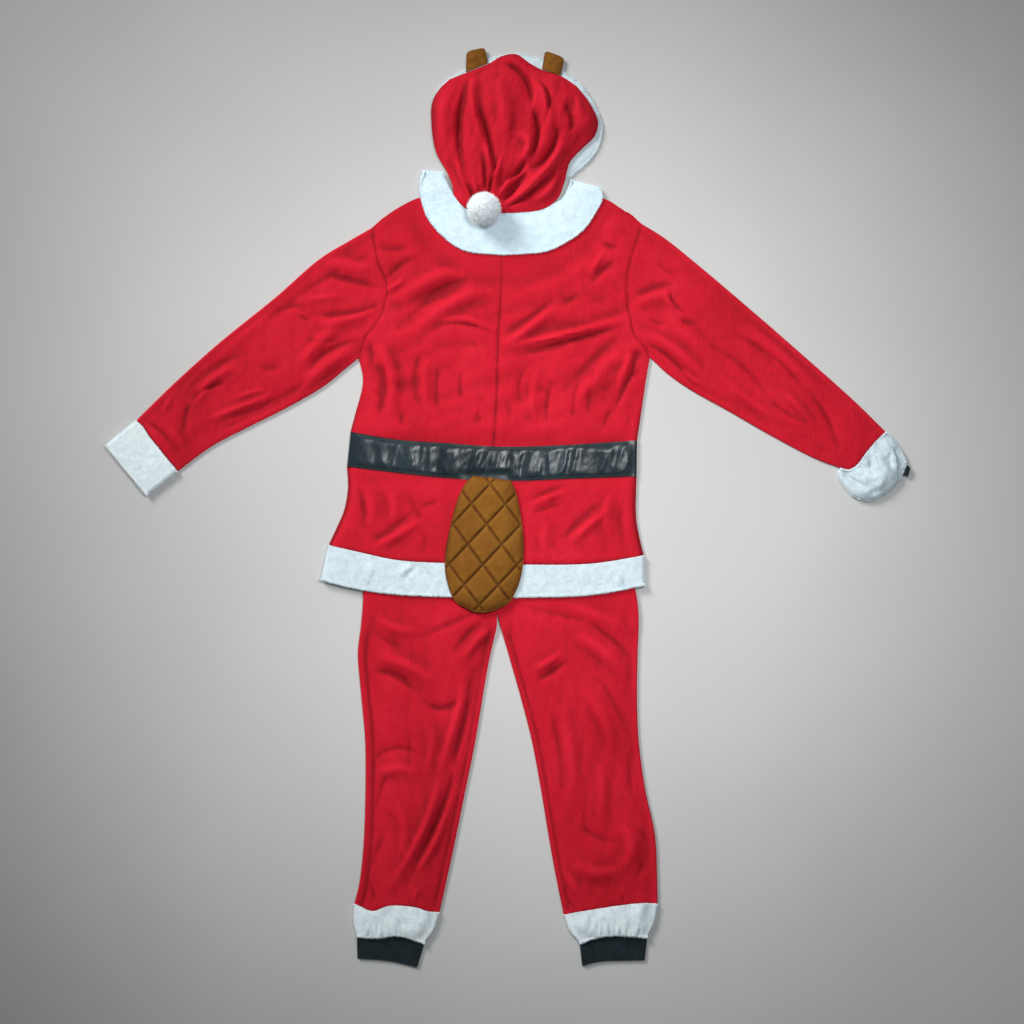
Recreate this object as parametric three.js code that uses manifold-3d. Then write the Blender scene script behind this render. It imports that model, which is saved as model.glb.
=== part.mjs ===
// Santa union suit with hood, laid flat with its back up. Millimetres, +Z up, +Y towards the hood.
// The origin is on the surface that the suit lies on, under the middle of the belt.
import * as THREE from "three";
import { mergeVertices } from "three/addons/utils/BufferGeometryUtils.js";
import Module from "manifold-3d";

const wasm = await Module();
wasm.setup();

// ---- driving sizes -------------------------------------------------------------------------
const GAP = 0.3;              // between pieces, at seams and where one lies on another
const VELOUR = 2;             // wall of the red cloth
const FLEECE = 3;             // wall of the white fleece
const BELT_WALL = 1.5;
const RIB_WALL = 2;
const BACK_TOP = 5.3;         // top of the back panel where it lies flat
const EDGE_TOP = 2 * VELOUR + GAP; // a back panel's edge, lying on the front panel
const EDGE_ROLL = 16;         // width of the rounding at an edge
const LOFT = 3.2;             // how far the cloth stands off inside its edges
const LOFT_REACH = 60;
const BELT_TOP = 8.4;
const PEPLUM_TOP = 8.9;
const HEM_TOP = 11.2;
const LEG_IN_PEPLUM = 2.3;
const LEG_IN_HEM = 3.4;
const COLLAR_LIFT = BACK_TOP + GAP;
const COLLAR_THICK = 4.5;
const BRIM_THICK = 5;
const CROWN_BASE = BRIM_THICK + GAP;
const CROWN_RIM = 6;
const CROWN_RISE = 24;
const CROWN_DEEPEST = -2;     // how far a fold may drop below the rim
const ZIP_HALF = 8;

// counts of steps: along and across each panel
const ARMHOLE_STEPS = 12;
const SIDE_STEPS = 6;
const BODICE_ACROSS = 12;
const SHOULDER_STEPS = 4;
const SLEEVE_ALONG = 14;
const CUFF_ALONG = 4;
const WAIST_STEPS = 24;
const PEPLUM_ALONG = 6;
const HEM_ALONG = 2;
const BELT_ALONG = 2;
const LEG_ALONG = 20;
const LEG_ACROSS = 10;
const BAND_ALONG = 2;
const BAND_ACROSS = 2 * LEG_ACROSS;
const RIB_ALONG = 1;
const ARC_ANGLES = [-45, 0, 45];

// ---- outlines: short tables of [x, y] -------------------------------------------------------
const ARMHOLE_LEFT = [[-269, 201], [-253, 245], [-231, 272], [-214, 339], [-229, 382], [-244, 454]];
const ARMHOLE_RIGHT = [[298, 202], [291, 217], [268, 247], [254, 312], [254, 362], [282, 462]];
// the back lies flat within one distance of the nape, under the collar, and is free beyond the other
const NAPE = { x: 20, y: 560, collar: 205, clear: 255 };
const SIDE_LEFT = [[-285, 57], [-276, 91], [-261, 155], [-269, 201]];
const SIDE_RIGHT = [[273, 40], [280, 87], [290, 155], [298, 202]];
const SHOULDER_LEFT = [[-244, 454], [-218, 476], [-189, 495], [-150, 513], [-84, 516]];
const SHOULDER_RIGHT = [[282, 462], [240, 493], [203, 512], [106, 498]];
const NECK_LEFT = [[-84, 516], [-64, 493], [-35, 485], [10, 482]];
const NECK_RIGHT = [[10, 482], [59, 484], [90, 490], [106, 498]];
const CENTRE_BACK = [[-4, 38], [0, 138], [2, 237], [7, 312], [10, 482]];
const BELT_UPPER = [[-285, 57], [-242, 49], [-190, 41], [-101, 35], [-4, 28], [88, 29], [183, 34],
  [273, 40]];
const BELT_LOWER = [[-292, -11], [-195, -23], [-101, -33], [-33, -38], [41, -39], [136, -35],
  [272, -30]];
const PEPLUM_LEFT = [[-292, -11], [-290, -51], [-297, -94], [-313, -132], [-328, -164]];
const PEPLUM_RIGHT = [[272, -30], [271, -108], [277, -146], [286, -184]];
const HEM_UPPER = [[-328, -164], [-266, -178], [-195, -193], [-101, -199], [53, -202], [183, -200],
  [286, -184]];
const HEM_LOWER = [[-343, -231], [-266, -249], [-195, -258], [-86, -263], [36, -264], [183, -259],
  [287, -241]];
const COLLAR_OUTER = [[-143, 566], [-149, 542], [-146, 506], [-132, 470], [-105, 438], [-64, 411],
  [14, 402], [95, 409], [133, 426], [166, 449], [190, 482], [205, 514], [199, 533]];
const COLLAR_INNER = [[-106, 563], [-97, 539], [-84, 516], [-64, 493], [-35, 485], [10, 482],
  [59, 484], [90, 490], [106, 498], [128, 511], [141, 537], [144, 547]];

// edges of the sleeves: one row for each section, its upper end and its lower end
const SLEEVE_LEFT = [
  // [upperX, upperY, lowerX, lowerY]
  [-244, 454, -269, 201], [-286, 430, -295, 180], [-345, 394, -337, 146], [-430, 320, -413, 102],
  [-540, 231, -481, 68], [-625, 155, -557, 28], [-703, 79, -622, -20]];
const SLEEVE_RIGHT = [
  [282, 462, 298, 202], [324, 436, 330, 172], [388, 385, 372, 142], [515, 277, 452, 97],
  [578, 222, 530, 52], [696, 117, 620, 5], [757, 57, 670, -14]];
const CUFF_SEAM_LEFT = [[-622, -20], [-642, 4], [-661, 28], [-677, 48], [-690, 67], [-703, 79]];
const CUFF_SEAM_RIGHT = [[670, -14], [685, -17], [701, -8], [716, 12], [735, 35], [757, 57]];
const CUFF_END_LEFT = [[-681, -67], [-720, -20], [-762, 31]];

// edges of the legs: one row for each section, its outer end and its inner end
const LEG_LEFT = [
  // [outerX, outerY, innerX, innerY]
  [-262, 48, 0, 24], [-262, -60, 0, -90], [-262, -160, 0, -200], [-260, -251, 0, -290], [-264, -314, 0, -318],
  [-271, -373, -14, -382], [-266, -441, -24, -437], [-257, -542, -42, -545], [-256, -622, -60, -635],
  [-260, -748, -84, -752], [-269, -827, -104, -844], [-278, -862, -112, -879]];
const LEG_RIGHT = [
  [246, 32, 0, 24], [246, -60, 0, -90], [250, -160, 0, -200], [270, -251, 0, -290], [276, -300, 6, -318],
  [274, -380, 25, -385], [273, -466, 49, -470], [276, -542, 68, -545], [288, -635, 85, -635],
  [308, -730, 104, -750], [312, -810, 119, -830], [313, -862, 130, -884]];
const ANKLE_SEAM_LEFT = [[-278, -862], [-242, -876], [-211, -866], [-157, -869], [-135, -877],
  [-112, -879]];
const ANKLE_SEAM_RIGHT = [[313, -862], [282, -861], [238, -865], [193, -872], [154, -879],
  [130, -884]];
const BAND_END_LEFT = [[-273, -925], [-231, -927], [-194, -923], [-160, -931], [-141, -939]];
const BAND_END_RIGHT = [[293, -927], [245, -923], [208, -924], [185, -929], [161, -939]];
const RIB_END_LEFT = [[-272, -969], [-235, -971], [-202, -975], [-179, -980], [-155, -986]];
const RIB_END_RIGHT = [[288, -972], [238, -973], [208, -974], [185, -978], [166, -984]];

// hood
const CROWN_LEFT = [[-84, 516], [-87, 537], [-97, 561], [-119, 602], [-128, 664], [-126, 697],
  [-114, 721], [-93, 742]];
const CROWN_RIGHT = [[106, 498], [121, 515], [132, 545], [142, 581], [166, 608], [190, 632], [197, 655],
  [194, 670], [178, 700], [154, 730]];
const CROWN_UPPER = [[-93, 742], [-61, 755], [-16, 773], [8, 787], [29, 792], [41, 790], [65, 773],
  [88, 761], [124, 749], [154, 730]];
const BRIM_OUTER = [[146, 556], [174, 580], [197, 610], [205, 649], [198, 676], [183, 706], [161, 736],
  [133, 756], [88, 782], [41, 793], [0, 788], [-42, 772], [-79, 753], [-112, 728], [-124, 690],
  [-124, 650], [-118, 612], [-103, 578], [-86, 556], [-60, 532], [0, 520], [60, 524], [112, 538]];
const FACE_HOLE = { x: 38, y: 655, halfWide: 78, halfTall: 86 };
const EARS = [
  { name: "ear_left", base: [[-60.5, 757], [-17.5, 774.4]], tip: [[-59, 797], [-24, 805]] },
  { name: "ear_right", base: [[87.6, 762.6], [124.4, 750.6]], tip: [[94, 799], [131, 785]] }];
const POMPOM = { x: -25, y: 486, z: 41.6, core: 25, reach: 35, room: 1.07, flat: 0.92 };

// right sleeve's end, crumpled over itself
const LUMP_END = [[690, -67], [714, -77], [738, -74], [766, -56], [786, -34]];
const LUMP_LEFT = [[670, -14], [664, -24], [673, -45], [690, -67]];
const LUMP_RIGHT = [[757, 57], [772, 41], [789, 16], [797, -6], [786, -34]];
const RIB_BIT = { inner: [[791, -27], [797.6, -7]], outer: [[800, -30], [805, -14]], bottom: 2, top: 10 };

// tail
const TAIL_LEFT = [[-46, -29], [-59, -41], [-73, -66], [-92, -133], [-101, -190], [-98, -229],
  [-82, -272], [-62, -285]];
const TAIL_RIGHT = [[26, -38], [36, -58], [46, -104], [52, -160], [49, -215], [37, -254], [22, -277],
  [6, -286]];
const TAIL_TOP = [[-46, -29], [-10, -33], [26, -38]];
const TAIL_TIP = [[-62, -285], [-45, -293], [-25, -295], [-8, -292], [6, -286]];
const TAIL_EDGE = 5;          // height of the pillow's edge
const TAIL_RISE = 15;         // and how far its middle rises above that
// where two lines of stitching cross, and from there to the next crossing along each of them
const QUILT = { x: -19.9, y: -123.2, a: [36.5, 39], b: [29.4, -39.6], puff: 7 };

// ---- folds: start, middle and end of each crest or trough, its width and its rise --------------
const FOLD_COLUMNS = ["x0", "y0", "xm", "ym", "x1", "y1", "wide", "rise"];
const BACK_FOLDS = [
  [-8, 349, -110, 285, -212, 193, 17, -5], [0, 376, -95, 322, -200, 238, 17, 4.5],
  [-20, 312, -115, 250, -200, 165, 17, 4], [21, 345, 75, 368, 121, 392, 14, -3],
  [22, 232, 130, 267, 246, 292, 14, -3.5], [45, 256, 140, 290, 240, 316, 16, 4],
  [54, 205, 145, 234, 236, 263, 13, -3], [258, 213, 190, 178, 116, 101, 15, -4],
  [250, 186, 185, 148, 125, 80, 16, 4.5], [67, 193, 45, 110, 34, 35, 14, -3],
  [90, 190, 72, 110, 62, 40, 15, 3.5], [246, 143, 250, 100, 250, 63, 14, -3],
  [-231, 222, -226, 150, -234, 88, 14, -5.5], [-205, 190, -202, 135, -208, 75, 15, 4.5],
  [-187, 356, -198, 335, -209, 315, 14, -3.5], [233, 392, 217, 370, 201, 352, 14, -3],
  [-150, 150, -142, 100, -150, 50, 14, 3.5], [-98, 160, -92, 100, -98, 50, 14, 3]];
const SLEEVE_FOLDS = [
  [-222, 345, -280, 352, -345, 353, 15, -4.5], [-330, 226, -385, 146, -523, 88, 16, -5],
  [-322, 258, -395, 180, -530, 114, 17, 5], [-523, 211, -608, 117, -612, 41, 15, -4.5],
  [-492, 196, -572, 108, -580, 40, 16, 4.5], [-430, 290, -480, 252, -545, 196, 17, 4],
  [-300, 396, -380, 328, -450, 275, 18, 4], [-300, 210, -335, 170, -400, 125, 15, 4],
  [-675, 70, -650, 52, -630, 30, 13, -3], [357, 334, 366, 310, 372, 280, 14, -4],
  [468, 236, 562, 142, 645, 84, 16, -4.5], [446, 212, 542, 116, 628, 58, 17, 4.5],
  [330, 400, 420, 322, 520, 245, 18, 4], [312, 232, 380, 172, 470, 112, 16, 4],
  [600, 182, 660, 120, 715, 66, 15, 4], [560, 70, 620, 42, 665, 18, 14, -3]];
const LEG_FOLDS = [
  [-263, -411, -160, -455, -75, -478, 17, -5], [-250, -382, -150, -424, -60, -446, 18, 4.5],
  [-53, -398, -88, -560, -110, -660, 15, 5], [-110, -660, -152, -760, -200, -850, 15, 5],
  [-132, -650, -182, -760, -226, -845, 15, -4.5], [-8, -312, -60, -332, -130, -345, 16, 4],
  [-240, -290, -180, -318, -100, -300, 17, 4], [-245, -560, -200, -600, -150, -612, 17, 4],
  [-240, -690, -232, -760, -240, -820, 16, 4], [41, -275, 150, -325, 262, -412, 17, -5],
  [30, -306, 140, -362, 252, -444, 18, 5], [50, -361, 72, -500, 97, -660, 15, 4.5],
  [97, -660, 116, -770, 142, -855, 15, 4.5], [262, -500, 232, -600, 256, -700, 20, 4.5],
  [120, -520, 168, -600, 182, -700, 20, 4], [300, -755, 288, -800, 272, -840, 15, -4],
  [150, -780, 195, -802, 245, -790, 16, 3.5]];
const PEPLUM_FOLDS = [
  [-248, -47, -275, -84, -283, -117, 14, -4], [-222, -55, -232, -105, -250, -160, 15, 4.5],
  [-185, -90, -155, -115, -129, -140, 15, -4], [-165, -62, -135, -92, -112, -118, 15, 4],
  [207, -51, 160, -107, 131, -156, 15, -4], [236, -60, 190, -115, 160, -168, 15, 4.5],
  [92, -60, 86, -110, 98, -165, 16, 4], [-158, -205, -170, -222, -185, -240, 12, -3]];
const CROWN_FOLDS = [
  [-53, 733, -35, 650, -13, 545, 13, -10], [-52, 745, -66, 655, -60, 560, 12, -9],
  [-92, 706, -94, 670, -85, 625, 15, -7], [6, 776, 66, 700, 70, 614, 15, 13],
  [70, 614, 50, 570, 16, 535, 14, 12], [-18, 740, -8, 650, 0, 550, 14, 10],
  [92, 720, 92, 649, 78, 590, 13, -9], [112, 722, 124, 680, 112, 640, 14, 8],
  [130, 640, 134, 610, 125, 575, 13, -8], [-84, 742, -84, 650, -50, 545, 13, 8],
  [30, 700, 32, 640, 28, 575, 13, -7], [-110, 690, -108, 640, -78, 560, 13, 6]];

const foldRows = (rows) => rows.map((row) => (
  Object.fromEntries(row.map((value, k) => [FOLD_COLUMNS[k], value]))));

// ---- small maths ----------------------------------------------------------------------------
const clamp01 = (t) => Math.min(1, Math.max(0, t));
const mix = (a, b, t) => a + (b - a) * t;
const mixPoint = (p, q, t) => [mix(p[0], q[0], t), mix(p[1], q[1], t)];
const distance = (p, q) => Math.hypot(p[0] - q[0], p[1] - q[1]);
const ease = (from, to, t) => {
  const s = clamp01((t - from) / (to - from));
  return s * s * (3 - 2 * s);
};

// n steps of equal length on a smooth line through the points
function line(points, steps) {
  const curve = new THREE.CatmullRomCurve3(points.map(([x, y]) => new THREE.Vector3(x, y, 0)));
  return curve.getSpacedPoints(steps).map((p) => [p.x, p.y]);
}

// distance to a segment, and how far along it the nearest point is
function toSegment(x, y, ax, ay, bx, by) {
  const along = clamp01(((x - ax) * (bx - ax) + (y - ay) * (by - ay)) / ((bx - ax) ** 2 + (by - ay) ** 2));
  return [Math.hypot(x - mix(ax, bx, along), y - mix(ay, by, along)), along];
}

// height that a table of folds adds at a point: each is a soft ridge or trough that dies out at its ends
function relief(folds, x, y) {
  let height = 0;
  for (const f of folds) {
    const [first, alongFirst] = toSegment(x, y, f.x0, f.y0, f.xm, f.ym);
    const [second, alongSecond] = toSegment(x, y, f.xm, f.ym, f.x1, f.y1);
    const away = Math.min(first, second);
    const along = first < second ? alongFirst / 2 : 0.5 + alongSecond / 2;
    const taper = Math.sin(Math.PI * mix(0.12, 0.88, along)) ** 0.7;
    height += f.rise * taper * Math.exp(-((away / f.wide) ** 2));
  }
  return height;
}

// ---- grids of floor points ------------------------------------------------------------------
// rows run from the start line to the end line; each row runs from the left line to the right line
function grid(start, end, left, right) {
  const across = start.length - 1;
  const along = left.length - 1;
  return left.map((l, i) => start.map((s, j) => [0, 1].map((k) => {
    const u = j / across;
    const v = i / along;
    const sides = mix(l[k], right[i][k], u);
    const ends = mix(s[k], end[j][k], v);
    const corners = mix(mix(left[0][k], right[0][k], u), mix(left[along][k], right[along][k], u), v);
    return sides + ends - corners;
  })));
}

// a line of points moved sideways, towards the points given
function pulled(points, towards, distance) {
  return points.map((p, i) => {
    const a = points[Math.max(0, i - 1)];
    const b = points[Math.min(points.length - 1, i + 1)];
    const length = Math.hypot(b[0] - a[0], b[1] - a[1]);
    const normal = [-(b[1] - a[1]) / length, (b[0] - a[0]) / length];
    const side = Math.sign(normal[0] * (towards[i][0] - p[0]) + normal[1] * (towards[i][1] - p[1])) || 1;
    return [p[0] + normal[0] * side * distance, p[1] + normal[1] * side * distance];
  });
}

// half a gap taken off the named edges of a grid
function trimmed(rows, edges) {
  const half = GAP / 2;
  const last = rows.length - 1;
  const wide = rows[0].length - 1;
  let out = rows.map((row) => row.map((p) => [...p]));
  const column = (j) => out.map((row) => row[j]);
  if (edges.includes("start")) out[0] = pulled(out[0], out[1], half);
  if (edges.includes("end")) out[last] = pulled(out[last], out[last - 1], half);
  for (const [edge, j, next] of [["left", 0, 1], ["right", wide, wide - 1]]) {
    if (!edges.includes(edge)) continue;
    const moved = pulled(column(j), column(next), half);
    out = out.map((row, i) => row.map((p, k) => (k === j ? moved[i] : p)));
  }
  return out;
}

// every second and every third point of a line
const coarse = (points) => points.filter((_, i) => i % 2 === 0);
const third = (points) => points.filter((_, i) => i % 3 === 0);
// n equal steps on a straight line
const between = (a, b, steps) => line([a, mixPoint(a, b, 0.5), b], steps);
// a point at a distance from one point towards another
const towards = (from, to, d) => mixPoint(from, to, d / distance(from, to));

// ---- solids ---------------------------------------------------------------------------------
// a closed wall between an outer and an inner grid of [x, y, z]; loop joins each row's two ends
function wallSolid(outer, inner, loop = false) {
  const rows = outer.length;
  const wide = outer[0].length;
  const positions = [...outer.flat(), ...inner.flat()].flat();
  const at = (i, j) => i * wide + (j % wide);
  const below = (i, j) => rows * wide + at(i, j);
  const faces = [];
  const quad = (a, b, c, d) => faces.push(a, b, c, a, c, d);
  const steps = loop ? wide : wide - 1;
  for (let i = 0; i < rows - 1; i++) {
    for (let j = 0; j < steps; j++) {
      quad(at(i, j), at(i, j + 1), at(i + 1, j + 1), at(i + 1, j));
      faces.push(below(i, j), below(i + 1, j + 1), below(i, j + 1));
      faces.push(below(i, j), below(i + 1, j), below(i + 1, j + 1));
    }
    if (loop) continue;
    quad(at(i + 1, 0), below(i + 1, 0), below(i, 0), at(i, 0));
    quad(at(i, wide - 1), below(i, wide - 1), below(i + 1, wide - 1), at(i + 1, wide - 1));
  }
  for (let j = 0; j < steps; j++) {
    quad(at(0, j), below(0, j), below(0, j + 1), at(0, j + 1));
    quad(at(rows - 1, j + 1), below(rows - 1, j + 1), below(rows - 1, j), at(rows - 1, j));
  }
  const geometry = new THREE.BufferGeometry();
  geometry.setAttribute("position", new THREE.Float32BufferAttribute(positions, 3));
  geometry.setIndex(faces);
  return outwards(geometry);
}

function signedVolume(geometry) {
  const p = geometry.getAttribute("position");
  const index = geometry.getIndex().array;
  const [a, b, c] = [new THREE.Vector3(), new THREE.Vector3(), new THREE.Vector3()];
  let volume = 0;
  for (let t = 0; t < index.length; t += 3) {
    a.fromBufferAttribute(p, index[t]);
    b.fromBufferAttribute(p, index[t + 1]);
    c.fromBufferAttribute(p, index[t + 2]);
    volume += a.dot(b.cross(c)) / 6;
  }
  return volume;
}

function outwards(geometry) {
  if (signedVolume(geometry) > 0) return geometry;
  const index = [...geometry.getIndex().array];
  for (let t = 0; t < index.length; t += 3) [index[t], index[t + 1]] = [index[t + 1], index[t]];
  geometry.setIndex(index);
  return geometry;
}

// one layer of cloth over a grid: top(x, y, distance from the row's ends) is its upper face
function panel(rows, thick, top) {
  const outer = rows.map((row) => row.map((p) => {
    const fromSides = Math.min(distance(p, row[0]), distance(p, row[row.length - 1]));
    return [p[0], p[1], top(p[0], p[1], fromSides)];
  }));
  const inner = outer.map((row) => row.map(([x, y, z]) => [x, y, z - thick]));
  return wallSolid(outer, inner);
}

// a solid over a grid, from its lower to its upper face
function mound(rows, bottom, top) {
  const outer = rows.map((row, i) => row.map((p, j) => [...p, top(p[0], p[1], i, j)]));
  const inner = rows.map((row) => row.map((p) => [...p, bottom(p[0], p[1])]));
  return wallSolid(outer, inner);
}

// cloth folded flat on itself over a grid. The fold is at each row's right end; the left end is a
// seam where the upper layer lies on the lower one, or a fold too where closed is true
function folded(rows, thick, closed, bottom, top, lowerStep = 2) {
  const outer = [];
  const inner = [];
  for (const row of rows) {
    const last = row.length - 1;
    const out = [];
    const inn = [];
    const add = (p, z, zIn) => {
      out.push([p[0], p[1], z]);
      inn.push([p[0], p[1], zIn]);
    };
    const addLower = (p, at) => add(p, bottom(...at), bottom(...at) + thick);
    const addUpper = (p, z) => add(p, z, z - thick);
    const radiusAt = (edge) => (top(...row[edge], 0) - bottom(...row[edge])) / 2;
    // half a round from the lower to the upper layer, or back where sign is -1
    const addArc = (edge, next, sign) => {
      const radius = radiusAt(edge);
      const middle = bottom(...row[edge]) + radius;
      for (const degrees of ARC_ANGLES) {
        const angle = THREE.MathUtils.degToRad(degrees * sign);
        const p = towards(row[edge], row[next], radius - radius * Math.cos(angle));
        const q = towards(row[edge], row[next], radius - (radius - thick) * Math.cos(angle));
        out.push([...p, middle + radius * Math.sin(angle)]);
        inn.push([...q, middle + (radius - thick) * Math.sin(angle)]);
      }
    };
    const leftStart = closed ? towards(row[0], row[1], radiusAt(0)) : row[0];
    const rightStart = towards(row[last], row[last - 1], radiusAt(last));
    addLower(leftStart, row[0]);
    for (let j = lowerStep; j < last; j += lowerStep) addLower(row[j], row[j]);
    addLower(rightStart, row[last]);
    addArc(last, last - 1, 1);
    addUpper(rightStart, top(...row[last], 0));
    for (let j = last - 1; j > 0; j--) {
      const fromEdge = Math.min(distance(row[j], row[last]), distance(row[j], row[0]));
      addUpper(row[j], top(...row[j], fromEdge));
    }
    if (closed) {
      addUpper(leftStart, top(...row[0], 0));
      addArc(0, 1, -1);
    } else {
      addUpper(row[0], bottom(...row[0]) + 2 * thick + GAP);
    }
    outer.push(out);
    inner.push(inn);
  }
  return wallSolid(outer, inner, closed);
}

function toManifold(geometry) {
  const bare = geometry.clone();
  for (const name of Object.keys(bare.attributes)) if (name !== "position") bare.deleteAttribute(name);
  const merged = mergeVertices(bare, 1e-4);
  return new wasm.Manifold(new wasm.Mesh({
    numProp: 3,
    vertProperties: new Float32Array(merged.getAttribute("position").array),
    triVerts: new Uint32Array(merged.getIndex().array),
  }));
}

function fromManifold(solid) {
  const mesh = solid.getMesh();
  const geometry = new THREE.BufferGeometry();
  geometry.setAttribute("position", new THREE.Float32BufferAttribute(mesh.vertProperties, 3));
  geometry.setIndex([...mesh.triVerts]);
  return geometry;
}

// ---- materials ------------------------------------------------------------------------------
const cloth = (color, roughness) => new THREE.MeshStandardMaterial({ color, roughness, metalness: 0 });
const RED = cloth(0xc81e2d, 0.9);
const WHITE = cloth(0xe4edf0, 0.95);
const BLACK = cloth(0x2a3036, 0.35);
const CHARCOAL = cloth(0x20272e, 0.95);
const BROWN = cloth(0x8a5a18, 0.9);

const suit = new THREE.Group();
function add(name, geometry, material) {
  const mesh = new THREE.Mesh(geometry, material);
  mesh.name = name;
  suit.add(mesh);
}

// ---- bodice ---------------------------------------------------------------------------------
const armholeLeft = line(ARMHOLE_LEFT, ARMHOLE_STEPS);
const armholeRight = line(ARMHOLE_RIGHT, ARMHOLE_STEPS);
const beltUpper = line(BELT_UPPER, WAIST_STEPS);
const beltLower = line(BELT_LOWER, WAIST_STEPS);
const hemUpper = line(HEM_UPPER, WAIST_STEPS);
const hemLower = line(HEM_LOWER, WAIST_STEPS);
const backFolds = foldRows(BACK_FOLDS);

const BELT_RAMP = { from: 150, to: 62 };   // y between which the back rises to the belt's top
const BELT_HOLD = { from: 28, to: 80 };    // y between which the belt holds the folds down
const ROLL_UNDER_COLLAR = { from: NAPE.collar + 15, to: NAPE.clear + 10 };

// upper face of the back: flat under the collar, lifted to the belt, rolled down at a free edge
function backTop(x, y, fromEdge) {
  const fromNape = Math.hypot(x - NAPE.x, y - NAPE.y);
  const shown = ease(NAPE.collar, NAPE.clear, fromNape);
  const inside = ease(0, LOFT_REACH, fromEdge);
  const folds = (LOFT * inside + relief(backFolds, x, y)) * shown * ease(0, EDGE_ROLL * 2, fromEdge);
  const flat = mix(BACK_TOP, BELT_TOP, ease(BELT_RAMP.from, BELT_RAMP.to, y));
  const body = Math.max(EDGE_TOP, flat + folds * ease(BELT_HOLD.from, BELT_HOLD.to, y));
  const free = ease(ROLL_UNDER_COLLAR.from, ROLL_UNDER_COLLAR.to, fromNape);
  const edge = mix(BACK_TOP, EDGE_TOP, free);
  return mix(edge, body, Math.sqrt(ease(0, EDGE_ROLL, fromEdge)));
}

const neckLeft = line(NECK_LEFT, BODICE_ACROSS - SHOULDER_STEPS);
const neckRight = line(NECK_RIGHT, BODICE_ACROSS - SHOULDER_STEPS);
const halves = [
  { side: "left", edge: SIDE_LEFT, armhole: armholeLeft, shoulder: SHOULDER_LEFT,
    waist: beltUpper.slice(0, BODICE_ACROSS + 1), neck: neckLeft },
  { side: "right", edge: SIDE_RIGHT, armhole: armholeRight, shoulder: SHOULDER_RIGHT,
    waist: beltUpper.slice(BODICE_ACROSS).reverse(), neck: [...neckRight].reverse() }];

for (const h of halves) {
  const sideLine = [...line(h.edge, SIDE_STEPS), ...h.armhole.slice(1)];
  const upper = [...line(h.shoulder, SHOULDER_STEPS), ...h.neck.slice(1)];
  const centre = line([h.waist[BODICE_ACROSS], ...CENTRE_BACK.slice(1, -1), upper[BODICE_ACROSS]],
    sideLine.length - 1);
  const rows = trimmed(grid(h.waist, upper, sideLine, centre), ["start", "end", "left", "right"]);
  // only the side below the armhole and the shoulder are free to roll down on to the front
  const free = [...sideLine.slice(0, SIDE_STEPS + 1), ...upper.slice(0, SHOULDER_STEPS)];
  const top = (x, y) => backTop(x, y, Math.min(...free.map((p) => distance(p, [x, y]))));
  add(`bodice_back_${h.side}`, panel(rows, VELOUR, top), RED);
}

// front: flat on the surface, its neck cut to the collar, with a closed zip down the middle
const COLLAR_HALF = 12;
const CENTRE_TOP = [14, 402];
const middle = COLLAR_OUTER.findIndex(([x, y]) => x === CENTRE_TOP[0] && y === CENTRE_TOP[1]);
const collarOuter = [...line(COLLAR_OUTER.slice(0, middle + 1), COLLAR_HALF),
  ...line(COLLAR_OUTER.slice(middle), COLLAR_HALF).slice(1)];
const collarThird = third(collarOuter);
const centreCollar = COLLAR_HALF / 3;
const zipSides = {};
for (const h of halves) {
  const step = h.side === "left" ? -1 : 1;
  const meets = collarThird[centreCollar + 3 * step];
  const waist = coarse(h.waist);
  const waistEnd = waist.length - 1;
  waist[waistEnd] = towards(waist[waistEnd], waist[waistEnd - 1], ZIP_HALF);
  const zipTop = towards(CENTRE_TOP, collarThird[centreCollar + step], ZIP_HALF);
  const upper = [...line([...h.shoulder.slice(0, 2), meets], 3), collarThird[centreCollar + 2 * step],
    collarThird[centreCollar + step], zipTop];
  const sideLine = coarse([...line(h.edge, SIDE_STEPS), ...h.armhole.slice(1)]);
  const down = CENTRE_BACK.slice(1, -1).map(([x, y]) => [x + step * ZIP_HALF, y]);
  const zipLine = line([waist[waistEnd], ...down, zipTop], sideLine.length - 1);
  zipSides[h.side] = zipLine;
  const rows = trimmed(grid(waist, upper, sideLine, zipLine), ["start", "end", "left", "right"]);
  add(`bodice_front_${h.side}`, panel(rows, VELOUR, () => VELOUR), RED);
}
const zipRows = zipSides.left.map((p, i) => [p, mixPoint(p, zipSides.right[i], 0.5), zipSides.right[i]]);
zipRows[0][1] = beltUpper[BODICE_ACROSS];
zipRows[zipRows.length - 1][1] = CENTRE_TOP;
add("front_zip", panel(trimmed(zipRows, ["start", "end", "left", "right"]), VELOUR, () => VELOUR), RED);

// ---- sleeves and cuffs ----------------------------------------------------------------------
const sleeveFolds = foldRows(SLEEVE_FOLDS);
const LIMB_EDGE = BACK_TOP + 1.2;   // height of a sleeve or leg at its folded edge
const limbTop = (folds) => (x, y, fromEdge) => {
  const inside = ease(0, LOFT_REACH, fromEdge);
  const height = BACK_TOP + LOFT * inside + relief(folds, x, y) * ease(0, EDGE_ROLL * 2, fromEdge);
  return mix(LIMB_EDGE, Math.max(EDGE_TOP, height), ease(0, EDGE_ROLL, fromEdge));
};
const onSurface = () => 0;
const sectionEnds = (table, first) => table.map((row) => [row[first], row[first + 1]]);

const sleeves = [
  { side: "left", table: SLEEVE_LEFT, armhole: armholeLeft, seam: CUFF_SEAM_LEFT },
  { side: "right", table: SLEEVE_RIGHT, armhole: armholeRight, seam: CUFF_SEAM_RIGHT }];
for (const s of sleeves) {
  const seam = line(s.seam, ARMHOLE_STEPS);
  const upperEdge = line(sectionEnds(s.table, 0), SLEEVE_ALONG);
  const lowerEdge = line(sectionEnds(s.table, 2), SLEEVE_ALONG);
  const rows = trimmed(grid(s.armhole, seam, lowerEdge, upperEdge), ["start", "end"]);
  add(`sleeve_${s.side}`, folded(rows, VELOUR, false, onSurface, limbTop(sleeveFolds)), RED);
}

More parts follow.
